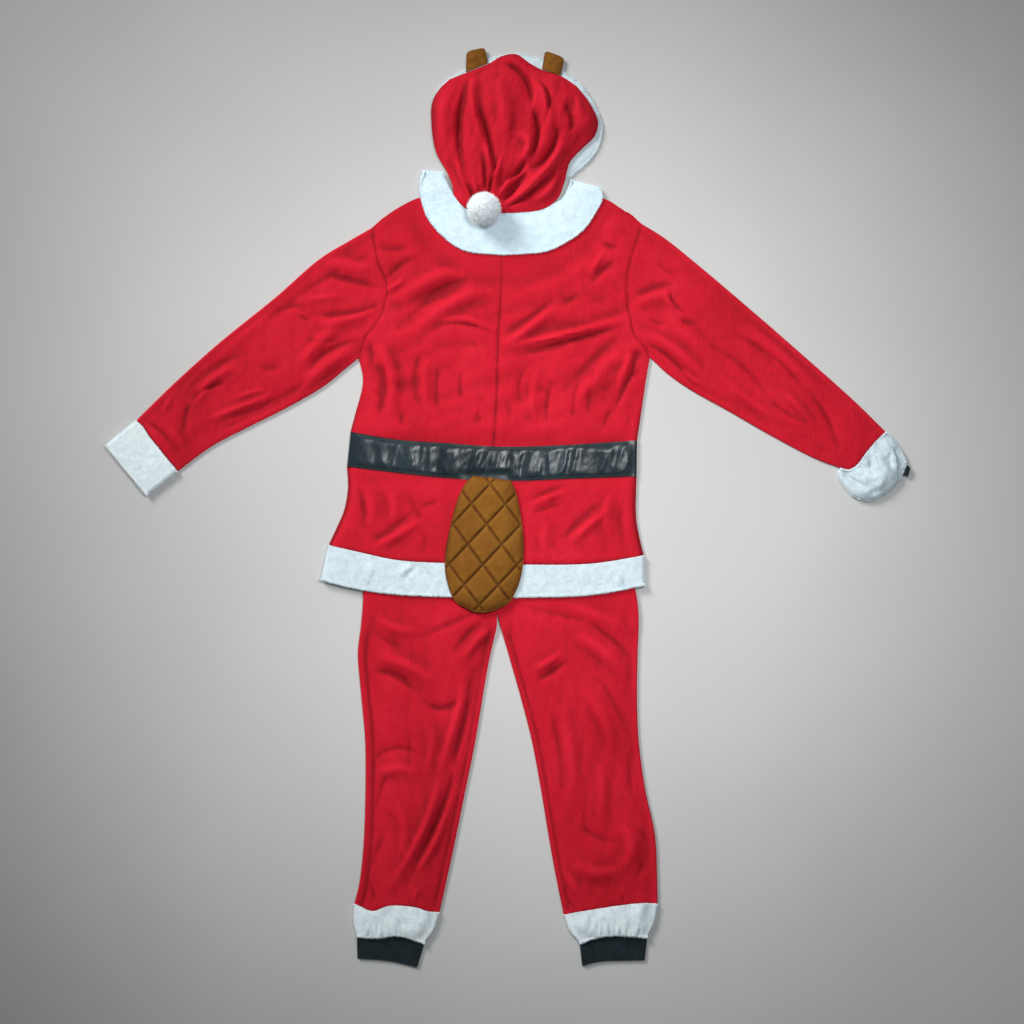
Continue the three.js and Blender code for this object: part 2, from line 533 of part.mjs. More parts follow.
const CUFF_EDGE = 13;
const CUFF_SWELL = 1.5;
const cuffSeam = line(CUFF_SEAM_LEFT, ARMHOLE_STEPS);
const cuffEnd = line(CUFF_END_LEFT, ARMHOLE_STEPS);
const cuffRows = grid(cuffSeam, cuffEnd, between(cuffSeam[0], cuffEnd[0], CUFF_ALONG),
  between(cuffSeam[ARMHOLE_STEPS], cuffEnd[ARMHOLE_STEPS], CUFF_ALONG));
add("cuff_left", folded(trimmed(cuffRows, ["start"]), FLEECE, true, onSurface,
  (x, y, fromEdge) => CUFF_EDGE + CUFF_SWELL * ease(0, 30, fromEdge)), WHITE);
// the rib is turned up inside the fleece band
const inRib = cuffRows.slice(1, CUFF_ALONG).map((row) => row.slice(1, ARMHOLE_STEPS));
const IN_RIB_BOTTOM = FLEECE + GAP;
const IN_RIB_TOP = IN_RIB_BOTTOM + 2 * RIB_WALL + 0.8;
add("cuff_left_rib", folded(inRib, RIB_WALL, true, () => IN_RIB_BOTTOM, () => IN_RIB_TOP), CHARCOAL);

// the right band: steps from its seam to its end, the height at its rim, at its seam and inside
const LUMP = { steps: 6, rim: 5.5, seam: 13, top: 25, x: 725 };
const lumpSeam = line(CUFF_SEAM_RIGHT, ARMHOLE_STEPS);
const lumpRows = grid(lumpSeam, line(LUMP_END, ARMHOLE_STEPS), line(LUMP_LEFT, LUMP.steps),
  line(LUMP_RIGHT, LUMP.steps));
function lumpTop(x, y, i, j) {
  const fromSides = Math.min(j, ARMHOLE_STEPS - j) / 3;
  const round = Math.sqrt(clamp01(Math.min(fromSides, (LUMP.steps - i) / 2)));
  const crumple = 2.5 * Math.sin((x - LUMP.x) / 9) + 2 * Math.sin((x + y) / 11);
  const body = mix(LUMP.seam, LUMP.top, ease(0, 3, i)) + crumple * ease(0, 2, i);
  return mix(LUMP.rim, body, round);
}
add("cuff_right", mound(trimmed(lumpRows, ["start"]), onSurface, lumpTop), WHITE);
const ribBit = [RIB_BIT.inner, RIB_BIT.outer].map(([a, b]) => [a, mixPoint(a, b, 0.5), b]);
add("cuff_right_rib", mound(ribBit, () => RIB_BIT.bottom, () => RIB_BIT.top), CHARCOAL);

// ---- belt, peplum and hem band --------------------------------------------------------------
const peplumFolds = foldRows(PEPLUM_FOLDS);
// the cloth is flat under the tail and rises over the last stretch of the zone on both sides of it
const TAIL_ZONE = { x: -24, half: 138, ramp: 30 };
const offTail = (x) => (
  ease(TAIL_ZONE.half - TAIL_ZONE.ramp, TAIL_ZONE.half, Math.abs(x - TAIL_ZONE.x)));
const beltSides = [between(beltUpper[0], beltLower[0], BELT_ALONG),
  between(beltUpper[WAIST_STEPS], beltLower[WAIST_STEPS], BELT_ALONG)];
const crinkle = (x, y) => 0.7 * Math.sin(x / 13 + y / 9) + 0.5 * Math.sin(x / 29 - y / 17);
const beltRows = trimmed(grid(beltUpper, beltLower, ...beltSides), ["start", "end"]);
add("belt", folded(beltRows, BELT_WALL, true, onSurface,
  (x, y, fromEdge) => BELT_TOP + Math.max(0, crinkle(x, y)) * ease(0, 40, fromEdge) * offTail(x)), BLACK);

const peplumLeft = line(PEPLUM_LEFT, PEPLUM_ALONG);
const peplumRight = line(PEPLUM_RIGHT, PEPLUM_ALONG);
const peplumRows = grid(beltLower, hemUpper, peplumLeft, peplumRight);
// the peplum rises from the belt to the hem band, PEPLUM_RUN further down
const PEPLUM_FROM = -30;
const PEPLUM_RUN = 165;
const onPeplum = (y) => mix(PEPLUM_TOP, HEM_TOP, clamp01((PEPLUM_FROM - y) / PEPLUM_RUN));
add("peplum_back", panel(trimmed(peplumRows, ["start", "end"]), VELOUR, (x, y, fromEdge) => {
  const fold = Math.max(0, LOFT / 2 + relief(peplumFolds, x, y)) * offTail(x) * ease(0, 40, fromEdge);
  const held = ease(-22, -55, y) * ease(-202, -180, y);
  return mix(EDGE_TOP, onPeplum(y) + fold * held, ease(0, EDGE_ROLL, fromEdge));
}), RED);
const frontRows = trimmed(coarse(peplumRows).map(coarse), ["start", "end"]);
add("peplum_front", panel(frontRows, VELOUR, () => VELOUR), RED);

const hemSides = [between(hemUpper[0], hemLower[0], HEM_ALONG),
  between(hemUpper[WAIST_STEPS], hemLower[WAIST_STEPS], HEM_ALONG)];
const hemRows = trimmed(grid(hemUpper, hemLower, ...hemSides), ["start"]);
add("hem_band", folded(hemRows, FLEECE, true, onSurface, (x, y, fromEdge) => HEM_TOP
  + Math.max(0, 1.2 + relief(peplumFolds, x, y)) * offTail(x) * ease(0, 30, fromEdge)), WHITE);

// ---- legs, ankle bands and ribs -------------------------------------------------------------
const legFolds = foldRows(LEG_FOLDS);
const legTop = limbTop(legFolds);
const LEG_LOFT = 1.5;         // how much more a leg stands off than a sleeve
// the legs lie on the front cloth inside the peplum and the hem band, and on the surface below them
function legBase(x, y) {
  const inside = mix(LEG_IN_HEM, LEG_IN_PEPLUM, ease(-190, -140, y));
  return inside * ease(-362, -314, y);
}
function legUpper(x, y, fromEdge) {
  const hidden = legBase(x, y) + 2 * VELOUR + GAP;
  const shown = legTop(x, y, fromEdge) + LEG_LOFT * ease(0, 40, fromEdge);
  return mix(hidden, Math.max(hidden, shown), ease(-266, -330, y));
}
const legs = [
  { side: "left", table: LEG_LEFT, seam: ANKLE_SEAM_LEFT, band: BAND_END_LEFT, rib: RIB_END_LEFT },
  { side: "right", table: LEG_RIGHT, seam: ANKLE_SEAM_RIGHT, band: BAND_END_RIGHT, rib: RIB_END_RIGHT }];
const BAND_TOP = 9;
const BAND_SWELL = 5;
const RIB_TOP = 5.4;
const BAND_LOWER_STEP = 4;
const GATHER_PITCH = 5.2;

// the ankle seam with the band's number of steps, its points on the leg's own seam line
function finerSeam(seam) {
  return Array.from({ length: BAND_ACROSS + 1 }, (_, k) => {
    const t = (k / BAND_ACROSS) * LEG_ACROSS;
    const j = Math.min(LEG_ACROSS - 1, Math.floor(t));
    return mixPoint(seam[j], seam[j + 1], t - j);
  });
}

for (const l of legs) {
  const outerEdge = line(sectionEnds(l.table, 0), LEG_ALONG);
  const sign = l.side === "left" ? -1 : 1;
  // the two legs share the straight seam above the crotch
  const innerEdge = line(sectionEnds(l.table, 2), LEG_ALONG)
    .map(([x, y]) => [sign * Math.max(0, sign * x), y]);
  const seam = line(l.seam, LEG_ACROSS);
  const waist = between(outerEdge[0], innerEdge[0], LEG_ACROSS);
  // rows run from the seam between the legs out to the folded side
  const rows = grid([...waist].reverse(), [...seam].reverse(), innerEdge, outerEdge);
  add(`leg_${l.side}`, folded(trimmed(rows, ["end", "left"]), VELOUR, false, legBase, legUpper), RED);

  const bandEnd = line(l.band, BAND_ACROSS);
  const bandRows = grid(finerSeam(seam), bandEnd, between(seam[0], bandEnd[0], BAND_ALONG),
    between(seam[LEG_ACROSS], bandEnd[BAND_ACROSS], BAND_ALONG));
  const bandTop = (x, y, fromEdge) => {
    const swell = BAND_SWELL * ease(0, 30, fromEdge) * ease(-942, -905, y);
    const gathers = Math.sin(x / GATHER_PITCH) * ease(4, 20, fromEdge) * ease(-890, -920, y);
    return BAND_TOP + swell + gathers;
  };
  add(`ankle_band_${l.side}`, folded(trimmed(bandRows, ["start", "end"]), FLEECE, true, onSurface,
    bandTop, BAND_LOWER_STEP), WHITE);
  const ribEnd = line(l.rib, BAND_ACROSS);
  const ribRows = grid(bandEnd, ribEnd, between(bandEnd[0], ribEnd[0], RIB_ALONG),
    between(bandEnd[BAND_ACROSS], ribEnd[BAND_ACROSS], RIB_ALONG));
  add(`ankle_rib_${l.side}`, folded(trimmed(ribRows, ["start"]), RIB_WALL, true, onSurface,
    () => RIB_TOP, BAND_LOWER_STEP), CHARCOAL);
}

// ---- collar ---------------------------------------------------------------------------------
const COLLAR_STEPS = 2 * COLLAR_HALF;
const COLLAR_ACROSS = 4;
const COLLAR_EDGE = 2;
const collarInner = line(COLLAR_INNER, COLLAR_STEPS);
const innerThird = third(collarInner);
const frontCollar = collarThird.map((p, i) => between(p, innerThird[i], 2));
add("collar_front", panel(trimmed(frontCollar, ["left"]), FLEECE, () => FLEECE), WHITE);
// the back collar lies on the back panel, and beyond it on the front collar
const collarBottom = (x, y) => mix(COLLAR_LIFT, FLEECE + GAP, ease(524, 552, y));
const backCollar = collarOuter.map((p, i) => between(p, collarInner[i], COLLAR_ACROSS));
function collarTop(x, y, i, j) {
  const ends = Math.sqrt(clamp01((Math.min(i, COLLAR_STEPS - i) + 0.5) / 2));
  const round = Math.sin((Math.PI * (j + 0.8)) / (COLLAR_ACROSS + 1.6)) * ends;
  return collarBottom(x, y) + COLLAR_EDGE + (COLLAR_THICK - COLLAR_EDGE) * round;
}
add("collar_back", mound(trimmed(backCollar, ["left", "right"]), collarBottom, collarTop), WHITE);

// ---- hood -----------------------------------------------------------------------------------
const BRIM_STEPS = 28;
const brimCurve = new THREE.CatmullRomCurve3(BRIM_OUTER.map(([x, y]) => new THREE.Vector3(x, y, 0)), true);
const brimOuter = brimCurve.getSpacedPoints(BRIM_STEPS).slice(0, BRIM_STEPS).map((p) => [p.x, p.y]);
const hole = brimOuter.map(([x, y]) => {
  const angle = Math.atan2(y - FACE_HOLE.y, x - FACE_HOLE.x);
  return [FACE_HOLE.x + FACE_HOLE.halfWide * Math.cos(angle),
    FACE_HOLE.y + FACE_HOLE.halfTall * Math.sin(angle)];
});
const BRIM_SHARES = [0, 0.86, 1];
const BRIM_HEIGHTS = [BRIM_THICK, BRIM_THICK, BRIM_THICK * 0.5];
const brimRing = (height) => BRIM_SHARES.map((share, k) => (
  hole.map((h, j) => [...mixPoint(h, brimOuter[j], share), height(k)])));
add("hood_brim", wallSolid(brimRing((k) => BRIM_HEIGHTS[k]), brimRing(() => 0), true), WHITE);

const CROWN_ALONG = 20;
const neckLine = [...neckLeft, ...neckRight.slice(1)];
const crownAcross = neckLine.length - 1;
const crownRows = grid(neckLine, line(CROWN_UPPER, crownAcross), line(CROWN_LEFT, CROWN_ALONG),
  line(CROWN_RIGHT, CROWN_ALONG));
const crownFolds = foldRows(CROWN_FOLDS);
const crownEdge = [...crownRows[0], ...crownRows[CROWN_ALONG], ...crownRows.map((r) => r[0]),
  ...crownRows.map((r) => r[crownAcross])];
function crownTop(x, y) {
  const fromEdge = Math.min(...crownEdge.map((p) => distance(p, [x, y])));
  const dome = Math.sqrt(ease(0, 90, fromEdge)) * mix(0.55, 1, ease(500, 600, y));
  const folds = relief(crownFolds, x, y) * ease(0, 28, fromEdge);
  return CROWN_BASE + CROWN_RIM + Math.max(CROWN_DEEPEST, CROWN_RISE * dome + folds);
}
const crown = mound(trimmed(crownRows, ["start", "left", "right"]), () => CROWN_BASE, crownTop);

// pompom: a core with a three-sided lock on every second face; with no reach it is the bare core
function pompomSolid(reach, core) {
  const ball = new THREE.IcosahedronGeometry(core, 2);
  ball.deleteAttribute("normal");
  ball.deleteAttribute("uv");
  const merged = mergeVertices(ball, 1e-3);
  const p = merged.getAttribute("position");
  const points = Array.from({ length: p.count }, (_, i) => new THREE.Vector3().fromBufferAttribute(p, i));
  const index = merged.getIndex().array;
  const faces = [];
  for (let t = 0; t < index.length; t += 3) {
    const [a, b, c] = [index[t], index[t + 1], index[t + 2]];
    if (reach <= core || t % 2 === 1) {
      faces.push(a, b, c);
      continue;
    }
    // the locks differ a little in length
    const length = reach * (0.97 + 0.0582 * Math.sin(t));
    points.push(points[a].clone().add(points[b]).add(points[c]).normalize().multiplyScalar(length));
    const k = points.length - 1;
    faces.push(a, b, k, b, c, k, c, a, k);
  }
  const geometry = new THREE.BufferGeometry().setFromPoints(points);
  geometry.setIndex(faces);
  geometry.scale(1, 1, POMPOM.flat);
  geometry.translate(POMPOM.x, POMPOM.y, POMPOM.z);
  return geometry;
}
const clearance = toManifold(pompomSolid(0, POMPOM.reach * POMPOM.room));
add("hat_crown", fromManifold(toManifold(crown).subtract(clearance)), RED);
add("pompom", pompomSolid(POMPOM.reach, POMPOM.core), WHITE);

const EAR_STEPS = 4;
const EAR = { edge: 2.5, rise: 3.5 };
const earTop = (x, y, i, j) => CROWN_BASE + EAR.edge + EAR.rise * Math.sin((Math.PI * j) / EAR_STEPS)
  * Math.sqrt(clamp01((EAR_STEPS + 0.3 - i) / 3));
for (const ear of EARS) {
  const leftEdge = between(ear.base[0], ear.tip[0], EAR_STEPS);
  const rightEdge = between(ear.base[1], ear.tip[1], EAR_STEPS);
  const rows = leftEdge.map((p, i) => between(p, rightEdge[i], EAR_STEPS));
  add(ear.name, mound(rows, () => CROWN_BASE, earTop), BROWN);
}

// ---- tail: a pillow with diamond quilting -----------------------------------------------------
const TAIL_ALONG = 16;
const TAIL_ACROSS = 8;
const tailRows = grid(line(TAIL_TOP, TAIL_ACROSS), line(TAIL_TIP, TAIL_ACROSS), line(TAIL_LEFT, TAIL_ALONG),
  line(TAIL_RIGHT, TAIL_ALONG));
const TAIL_GAP = 2 * GAP;     // between the peplum and the tail
const tailBottom = (x, y) => onPeplum(y) + TAIL_GAP;
const tailEdge = [...tailRows[0], ...tailRows[TAIL_ALONG], ...tailRows.map((r) => r[0]),
  ...tailRows.map((r) => r[TAIL_ACROSS])];
const pillow = mound(tailRows, tailBottom, (x, y) => {
  const fromEdge = Math.min(...tailEdge.map((p) => distance(p, [x, y])));
  return tailBottom(x, y) + TAIL_EDGE + TAIL_RISE * Math.sqrt(ease(0, 45, fromEdge));
});
// slab whose top is a lattice of puffed diamonds between the two families of stitching
const QUILT_CELLS = 4;
const PER_CELL = 3;
const QUILT_GROOVE = tailBottom(0, -160) + TAIL_RISE - 4;
const quiltSteps = Array.from({ length: 2 * QUILT_CELLS * PER_CELL + 1 },
  (_, k) => k / PER_CELL - QUILT_CELLS);
const quiltRows = quiltSteps.map((a) => quiltSteps.map((b) => {
  const puff = Math.sqrt(Math.abs(Math.sin(Math.PI * a) * Math.sin(Math.PI * b)));
  return [QUILT.x + QUILT.a[0] * a + QUILT.b[0] * b, QUILT.y + QUILT.a[1] * a + QUILT.b[1] * b,
    QUILT_GROOVE + QUILT.puff * puff];
}));
const quilt = wallSolid(quiltRows, quiltRows.map((row) => row.map(([x, y]) => [x, y, 0])));
add("tail", fromManifold(toManifold(pillow).intersect(toManifold(quilt))), BROWN);

export default suit;
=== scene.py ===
# Santa union suit, laid flat with its back up: its looks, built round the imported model.
# Shapes are worked out in millimetres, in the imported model's frame, and made in metres.
import math

import bmesh
import bpy
import numpy as np
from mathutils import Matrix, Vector, noise


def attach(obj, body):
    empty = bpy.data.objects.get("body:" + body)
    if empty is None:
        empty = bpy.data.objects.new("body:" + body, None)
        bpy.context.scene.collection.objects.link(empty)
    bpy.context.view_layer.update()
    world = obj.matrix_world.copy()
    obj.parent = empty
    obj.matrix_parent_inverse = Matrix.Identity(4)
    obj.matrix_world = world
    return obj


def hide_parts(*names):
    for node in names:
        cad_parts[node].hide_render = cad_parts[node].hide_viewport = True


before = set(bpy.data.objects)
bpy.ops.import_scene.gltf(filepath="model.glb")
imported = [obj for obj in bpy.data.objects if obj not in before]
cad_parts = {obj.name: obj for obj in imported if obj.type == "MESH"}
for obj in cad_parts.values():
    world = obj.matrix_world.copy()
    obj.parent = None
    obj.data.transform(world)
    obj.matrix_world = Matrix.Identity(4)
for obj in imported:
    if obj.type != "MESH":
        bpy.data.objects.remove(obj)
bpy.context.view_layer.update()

MM = 0.001
GAP = 0.3                 # between pieces that lie on each other
SEAM_GAP = 0.04           # left between two pieces sewn edge to edge
VELOUR = 2.0
FLEECE = 3.0
BELT_WALL = 1.5
RIB_WALL = 2.0
BACK_TOP = 5.3            # height of the flat back above the floor
EDGE_TOP = 2 * VELOUR + GAP
EDGE_ROLL = 12.0          # width over which cloth rolls down to its edge
LOFT = 4.2                # how far loose cloth swells up, away from its edges
CREST = 1.5               # how far the tables' crests and creases are raised
CREASE = 0.9
SEAM_SHADE = 2.8          # half the width of the painted shade along a seam
LOFT_REACH = 60.0
BELT_TOP = 8.4
PEPLUM_TOP = 8.9
HEM_TOP = 11.2
LEG_IN_PEPLUM = 2.3
LEG_IN_HEM = 3.4
COLLAR_LIFT = BACK_TOP + GAP
COLLAR_THICK = 5.5
BRIM_THICK = 5.0
CROWN_BASE = BRIM_THICK + GAP
CROWN_RIM = 5.0
CROWN_RISE = 25.0
ZIP_HALF = 8.0
SEAM_DIP = 1.6            # depth and half width of the furrow along a seam
SEAM_WIDE = 4.0

# ---- camera, light and floor -------------------------------------------------------------------
VIEW_CENTRE = (0.02925, -0.09945)      # the point that the camera looks down on, in metres
VIEW_WIDE = 1.9968
LENS = 85.0
SENSOR = 36.0
SKY_COLOUR = (0.86, 0.93, 1.0, 1.0)
SKY_STRENGTH = 0.134
# A low lamp from the upper left models the folds, and one overhead fades towards the corners.
# (name, place, point aimed at, watts, colour, size, angle of its cone)
LAMPS = [("key", (-3.0, 3.15, 2.75), (0.76, -0.36, 0.0), 1070.0, (1.0, 0.985, 0.96), 1.0, 0.806),
         ("overhead", (0.50, 0.50, 2.4), (0.055, -0.074, 0.0), 172.0, (0.98, 0.99, 1.0), 0.45, 0.956)]


def make_camera():
    data = bpy.data.cameras.new("camera")
    data.lens = LENS
    data.sensor_width = SENSOR
    camera = bpy.data.objects.new("camera", data)
    bpy.context.collection.objects.link(camera)
    height = VIEW_WIDE * LENS / SENSOR
    camera.location = (VIEW_CENTRE[0], VIEW_CENTRE[1], height)
    camera.rotation_euler = (0.0, 0.0, 0.0)
    bpy.context.scene.camera = camera


def make_lamp(name, where, aim, watts, colour, size, cone):
    data = bpy.data.lights.new(name, "SPOT")
    data.energy = watts
    data.color = colour
    data.shadow_soft_size = size
    data.spot_size = cone
    data.spot_blend = 1.0
    lamp = bpy.data.objects.new(name, data)
    bpy.context.collection.objects.link(lamp)
    lamp.location = where
    lamp.rotation_euler = (Vector(aim) - Vector(where)).to_track_quat("-Z", "Y").to_euler()


def make_world():
    world = bpy.data.worlds.new("studio")
    world.use_nodes = True
    background = world.node_tree.nodes["Background"]
    background.inputs["Color"].default_value = SKY_COLOUR
    background.inputs["Strength"].default_value = SKY_STRENGTH
    bpy.context.scene.world = world


make_camera()
make_world()
for lamp in LAMPS:
    make_lamp(*lamp)
bpy.context.scene.view_settings.view_transform = "Standard"

# ---- outlines: short tables of (x, y) ----------------------------------------------------------
ARMHOLE_LEFT = [(-269, 201), (-253, 245), (-231, 272), (-214, 339), (-229, 382), (-244, 454)]
ARMHOLE_RIGHT = [(298, 202), (291, 217), (268, 247), (254, 312), (254, 362), (282, 462)]
SIDE_LEFT = [(-285, 57), (-276, 91), (-261, 155), (-269, 201)]
SIDE_RIGHT = [(273, 40), (280, 87), (290, 155), (298, 202)]
SHOULDER_LEFT = [(-244, 454), (-218, 476), (-189, 495), (-150, 513), (-84, 516)]
SHOULDER_RIGHT = [(282, 462), (240, 493), (203, 512), (106, 498)]
NAPE = (20, 560)
NAPE_COLLAR = 205
NAPE_CLEAR = 240
NECK_LEFT = [(-84, 516), (-64, 493), (-35, 485), (10, 482)]
NECK_RIGHT = [(10, 482), (59, 484), (90, 490), (106, 498)]
CENTRE_BACK = [(-4, 38), (0, 138), (2, 237), (7, 312), (10, 482)]
CENTRE_TOP = (14, 402)
BELT_UPPER = [(-285, 57), (-242, 49), (-190, 41), (-101, 35), (-4, 28), (88, 29), (183, 34), (273, 40)]
BELT_LOWER = [(-292, -11), (-195, -23), (-101, -33), (-33, -38), (41, -39), (136, -35), (272, -30)]
PEPLUM_LEFT = [(-292, -11), (-290, -51), (-297, -94), (-313, -132), (-328, -164)]
PEPLUM_RIGHT = [(272, -30), (271, -108), (277, -146), (286, -184)]
HEM_UPPER = [(-328, -164), (-266, -178), (-195, -193), (-101, -199), (53, -202), (183, -200), (286, -184)]
HEM_LOWER = [(-343, -231), (-266, -249), (-195, -258), (-86, -263), (36, -264), (183, -259), (287, -241)]
COLLAR_OUTER = [(-143, 566), (-149, 542), (-146, 506), (-132, 470), (-105, 438), (-64, 411), (14, 402),
                (95, 409), (133, 426), (166, 449), (190, 482), (205, 514), (199, 533)]
COLLAR_INNER = [(-106, 563), (-97, 539), (-84, 516), (-64, 493), (-35, 485), (10, 482),
                (59, 484), (90, 490), (106, 498), (128, 511), (141, 537), (144, 547)]
# (upperX, upperY, lowerX, lowerY) of each section of a sleeve
SLEEVE_LEFT = [(-244, 454, -269, 201), (-286, 430, -295, 180), (-345, 394, -337, 146), (-430, 320, -413, 102),
               (-540, 231, -481, 68), (-625, 155, -557, 28), (-703, 79, -622, -20)]
SLEEVE_RIGHT = [(282, 462, 298, 202), (324, 436, 330, 172), (388, 385, 372, 142), (515, 277, 452, 97),
                (578, 222, 530, 52), (696, 117, 620, 5), (757, 57, 670, -14)]
CUFF_SEAM_LEFT = [(-622, -20), (-642, 4), (-661, 28), (-677, 48), (-690, 67), (-703, 79)]
CUFF_SEAM_RIGHT = [(670, -14), (685, -17), (701, -8), (716, 12), (735, 35), (757, 57)]
CUFF_END_LEFT = [(-681, -67), (-720, -20), (-762, 31)]
# (outerX, outerY, innerX, innerY) of each section of a leg
LEG_LEFT = [(-262, 48, 0, 24), (-262, -60, 0, -90), (-262, -160, 0, -200), (-260, -251, 0, -290),
            (-264, -314, 0, -318), (-271, -373, -14, -382), (-266, -441, -24, -437), (-257, -542, -42, -545),
            (-256, -622, -60, -635), (-260, -748, -84, -752), (-269, -827, -104, -844),
            (-278, -862, -112, -879)]
LEG_RIGHT = [(246, 32, 0, 24), (246, -60, 0, -90), (250, -160, 0, -200), (270, -251, 0, -290),
             (276, -300, 6, -318), (274, -380, 25, -385), (273, -466, 49, -470), (276, -542, 68, -545),
             (288, -635, 85, -635), (308, -730, 104, -750), (312, -810, 119, -830), (313, -862, 130, -884)]
ANKLE_SEAM_LEFT = [(-278, -862), (-242, -876), (-211, -866), (-157, -869), (-135, -877), (-112, -879)]
ANKLE_SEAM_RIGHT = [(313, -862), (282, -861), (238, -865), (193, -872), (154, -879), (130, -884)]
BAND_END_LEFT = [(-273, -925), (-231, -927), (-194, -923), (-160, -931), (-141, -939)]
BAND_END_RIGHT = [(293, -927), (245, -923), (208, -924), (185, -929), (161, -939)]
RIB_END_LEFT = [(-272, -969), (-235, -971), (-202, -975), (-179, -980), (-155, -986)]
RIB_END_RIGHT = [(288, -972), (238, -973), (208, -974), (185, -978), (166, -984)]
CROWN_LEFT = [(-84, 516), (-87, 537), (-97, 561), (-119, 602), (-128, 664), (-126, 697), (-114, 721),
              (-93, 742)]
CROWN_RIGHT = [(106, 498), (121, 515), (132, 545), (142, 581), (166, 608), (190, 632), (197, 655),
               (194, 670), (178, 700), (154, 730)]
CROWN_UPPER = [(-93, 742), (-61, 755), (-16, 773), (8, 787), (29, 792), (41, 790), (65, 773),
               (88, 761), (124, 749), (154, 730)]
BRIM_OUTER = [(146, 556), (174, 580), (197, 610), (205, 649), (198, 676), (183, 706), (161, 736), (133, 756),
              (88, 782), (41, 793), (0, 788), (-42, 772), (-79, 753), (-112, 728), (-124, 690), (-124, 650),
              (-118, 612), (-103, 578), (-86, 556), (-60, 532), (0, 520), (60, 524), (112, 538)]
FACE_HOLE = (38, 655, 78, 86)          # centre x, centre y, half width, half height
EARS = [("ear_left", (-60.5, 757), (-17.5, 774.4), (-59, 797), (-24, 805)),
        ("ear_right", (87.6, 762.6), (124.4, 750.6), (94, 799), (131, 785))]
POMPOM = (-25, 486, 41.6)
POMPOM_REACH = 35
POMPOM_FLAT = 0.92
LUMP_END = [(690, -67), (714, -77), (738, -74), (766, -56), (786, -34)]
LUMP_LEFT = [(670, -14), (664, -24), (673, -45), (690, -67)]
LUMP_RIGHT = [(757, 57), (772, 41), (789, 16), (797, -6), (786, -34)]
TAIL_LEFT = [(-46, -29), (-59, -41), (-73, -66), (-92, -133), (-101, -190), (-98, -229), (-82, -272),
             (-62, -285)]
TAIL_RIGHT = [(26, -38), (36, -58), (46, -104), (52, -160), (49, -215), (37, -254), (22, -277), (6, -286)]
TAIL_TOP = [(-46, -29), (-10, -33), (26, -38)]
TAIL_TIP = [(-62, -285), (-45, -293), (-25, -295), (-8, -292), (6, -286)]
QUILT_AT = (-19.9, -123.2)              # where two lines of stitching cross
QUILT_A = (36.5, 39.0)                 # from there to the next crossing along one line
QUILT_B = (29.4, -39.6)                # and along the other

# ---- folds: start, middle and end of each crest or trough (x, y), its width and its rise -------
BACK_FOLDS = [
    (6, 372, -91, 340, -195, 255, 13, -6), (0, 398, -111, 361, -202, 307, 15, 4.5),
    (0, 331, -91, 305, -176, 229, 13, 4), (-117, 265, -59, 266, 5, 244, 4, -2.6),
    (-117, 272, -59, 274, 3, 252, 5, 2), (8, 223, 58, 255, 117, 301, 8, 4),
    (12, 250, 64, 279, 110, 316, 7, -3.5), (19, 223, 130, 245, 256, 279, 7, 4),
    (40, 205, 140, 232, 253, 266, 6, -4), (233, 398, 207, 372, 175, 340, 5, -3.4),
    (214, 411, 194, 385, 178, 359, 5, 2.8), (162, 327, 142, 314, 128, 303, 5, -2.2),
    (282, 216, 269, 200, 266, 177, 5, -5), (259, 210, 253, 184, 233, 138, 7, 4),
    (266, 177, 246, 138, 220, 80, 6, -4), (259, 262, 188, 200, 116, 122, 14, -3.6),
    (250, 220, 190, 160, 140, 90, 13, 3.4), (-251, 242, -246, 190, -256, 138, 5, -5),
    (-256, 138, -264, 110, -273, 80, 5, -4), (-241, 192, -225, 145, -231, 84, 10, -6.5),
    (-238, 229, -205, 164, -212, 86, 9, 5), (-147, 216, -160, 164, -153, 106, 6, -2.8),
    (-111, 190, -118, 138, -111, 84, 6, -2.6), (-135, 200, -141, 150, -134, 90, 6, 2.2),
    (-65, 184, -72, 145, -65, 104, 5, -2.2), (58, 190, 42, 145, 51, 104, 5, -2.4),
    (110, 164, 97, 112, 100, 70, 6, -2.8), (162, 164, 149, 112, 152, 65, 6, -2.6),
    (80, 180, 70, 130, 76, 80, 6, 2.2), (194, 190, 181, 138, 178, 84, 6, -2.6),
    (233, 125, 214, 86, 207, 60, 5, -2.8), (-215, 353, -189, 381, -148, 400, 6, -3.6),
    (-222, 334, -196, 341, -182, 360, 5, 3), (-234, 420, -200, 412, -168, 420, 7, -3),
    (240, 420, 215, 420, 190, 440, 7, -2.8), (-190, 100, -186, 80, -190, 62, 5, -2.4),
    (-40, 100, -36, 84, -40, 60, 5, -2), (20, 110, 24, 88, 20, 60, 5, -2),
    (262, 92, 258, 75, 262, 55, 5, -2.6)]
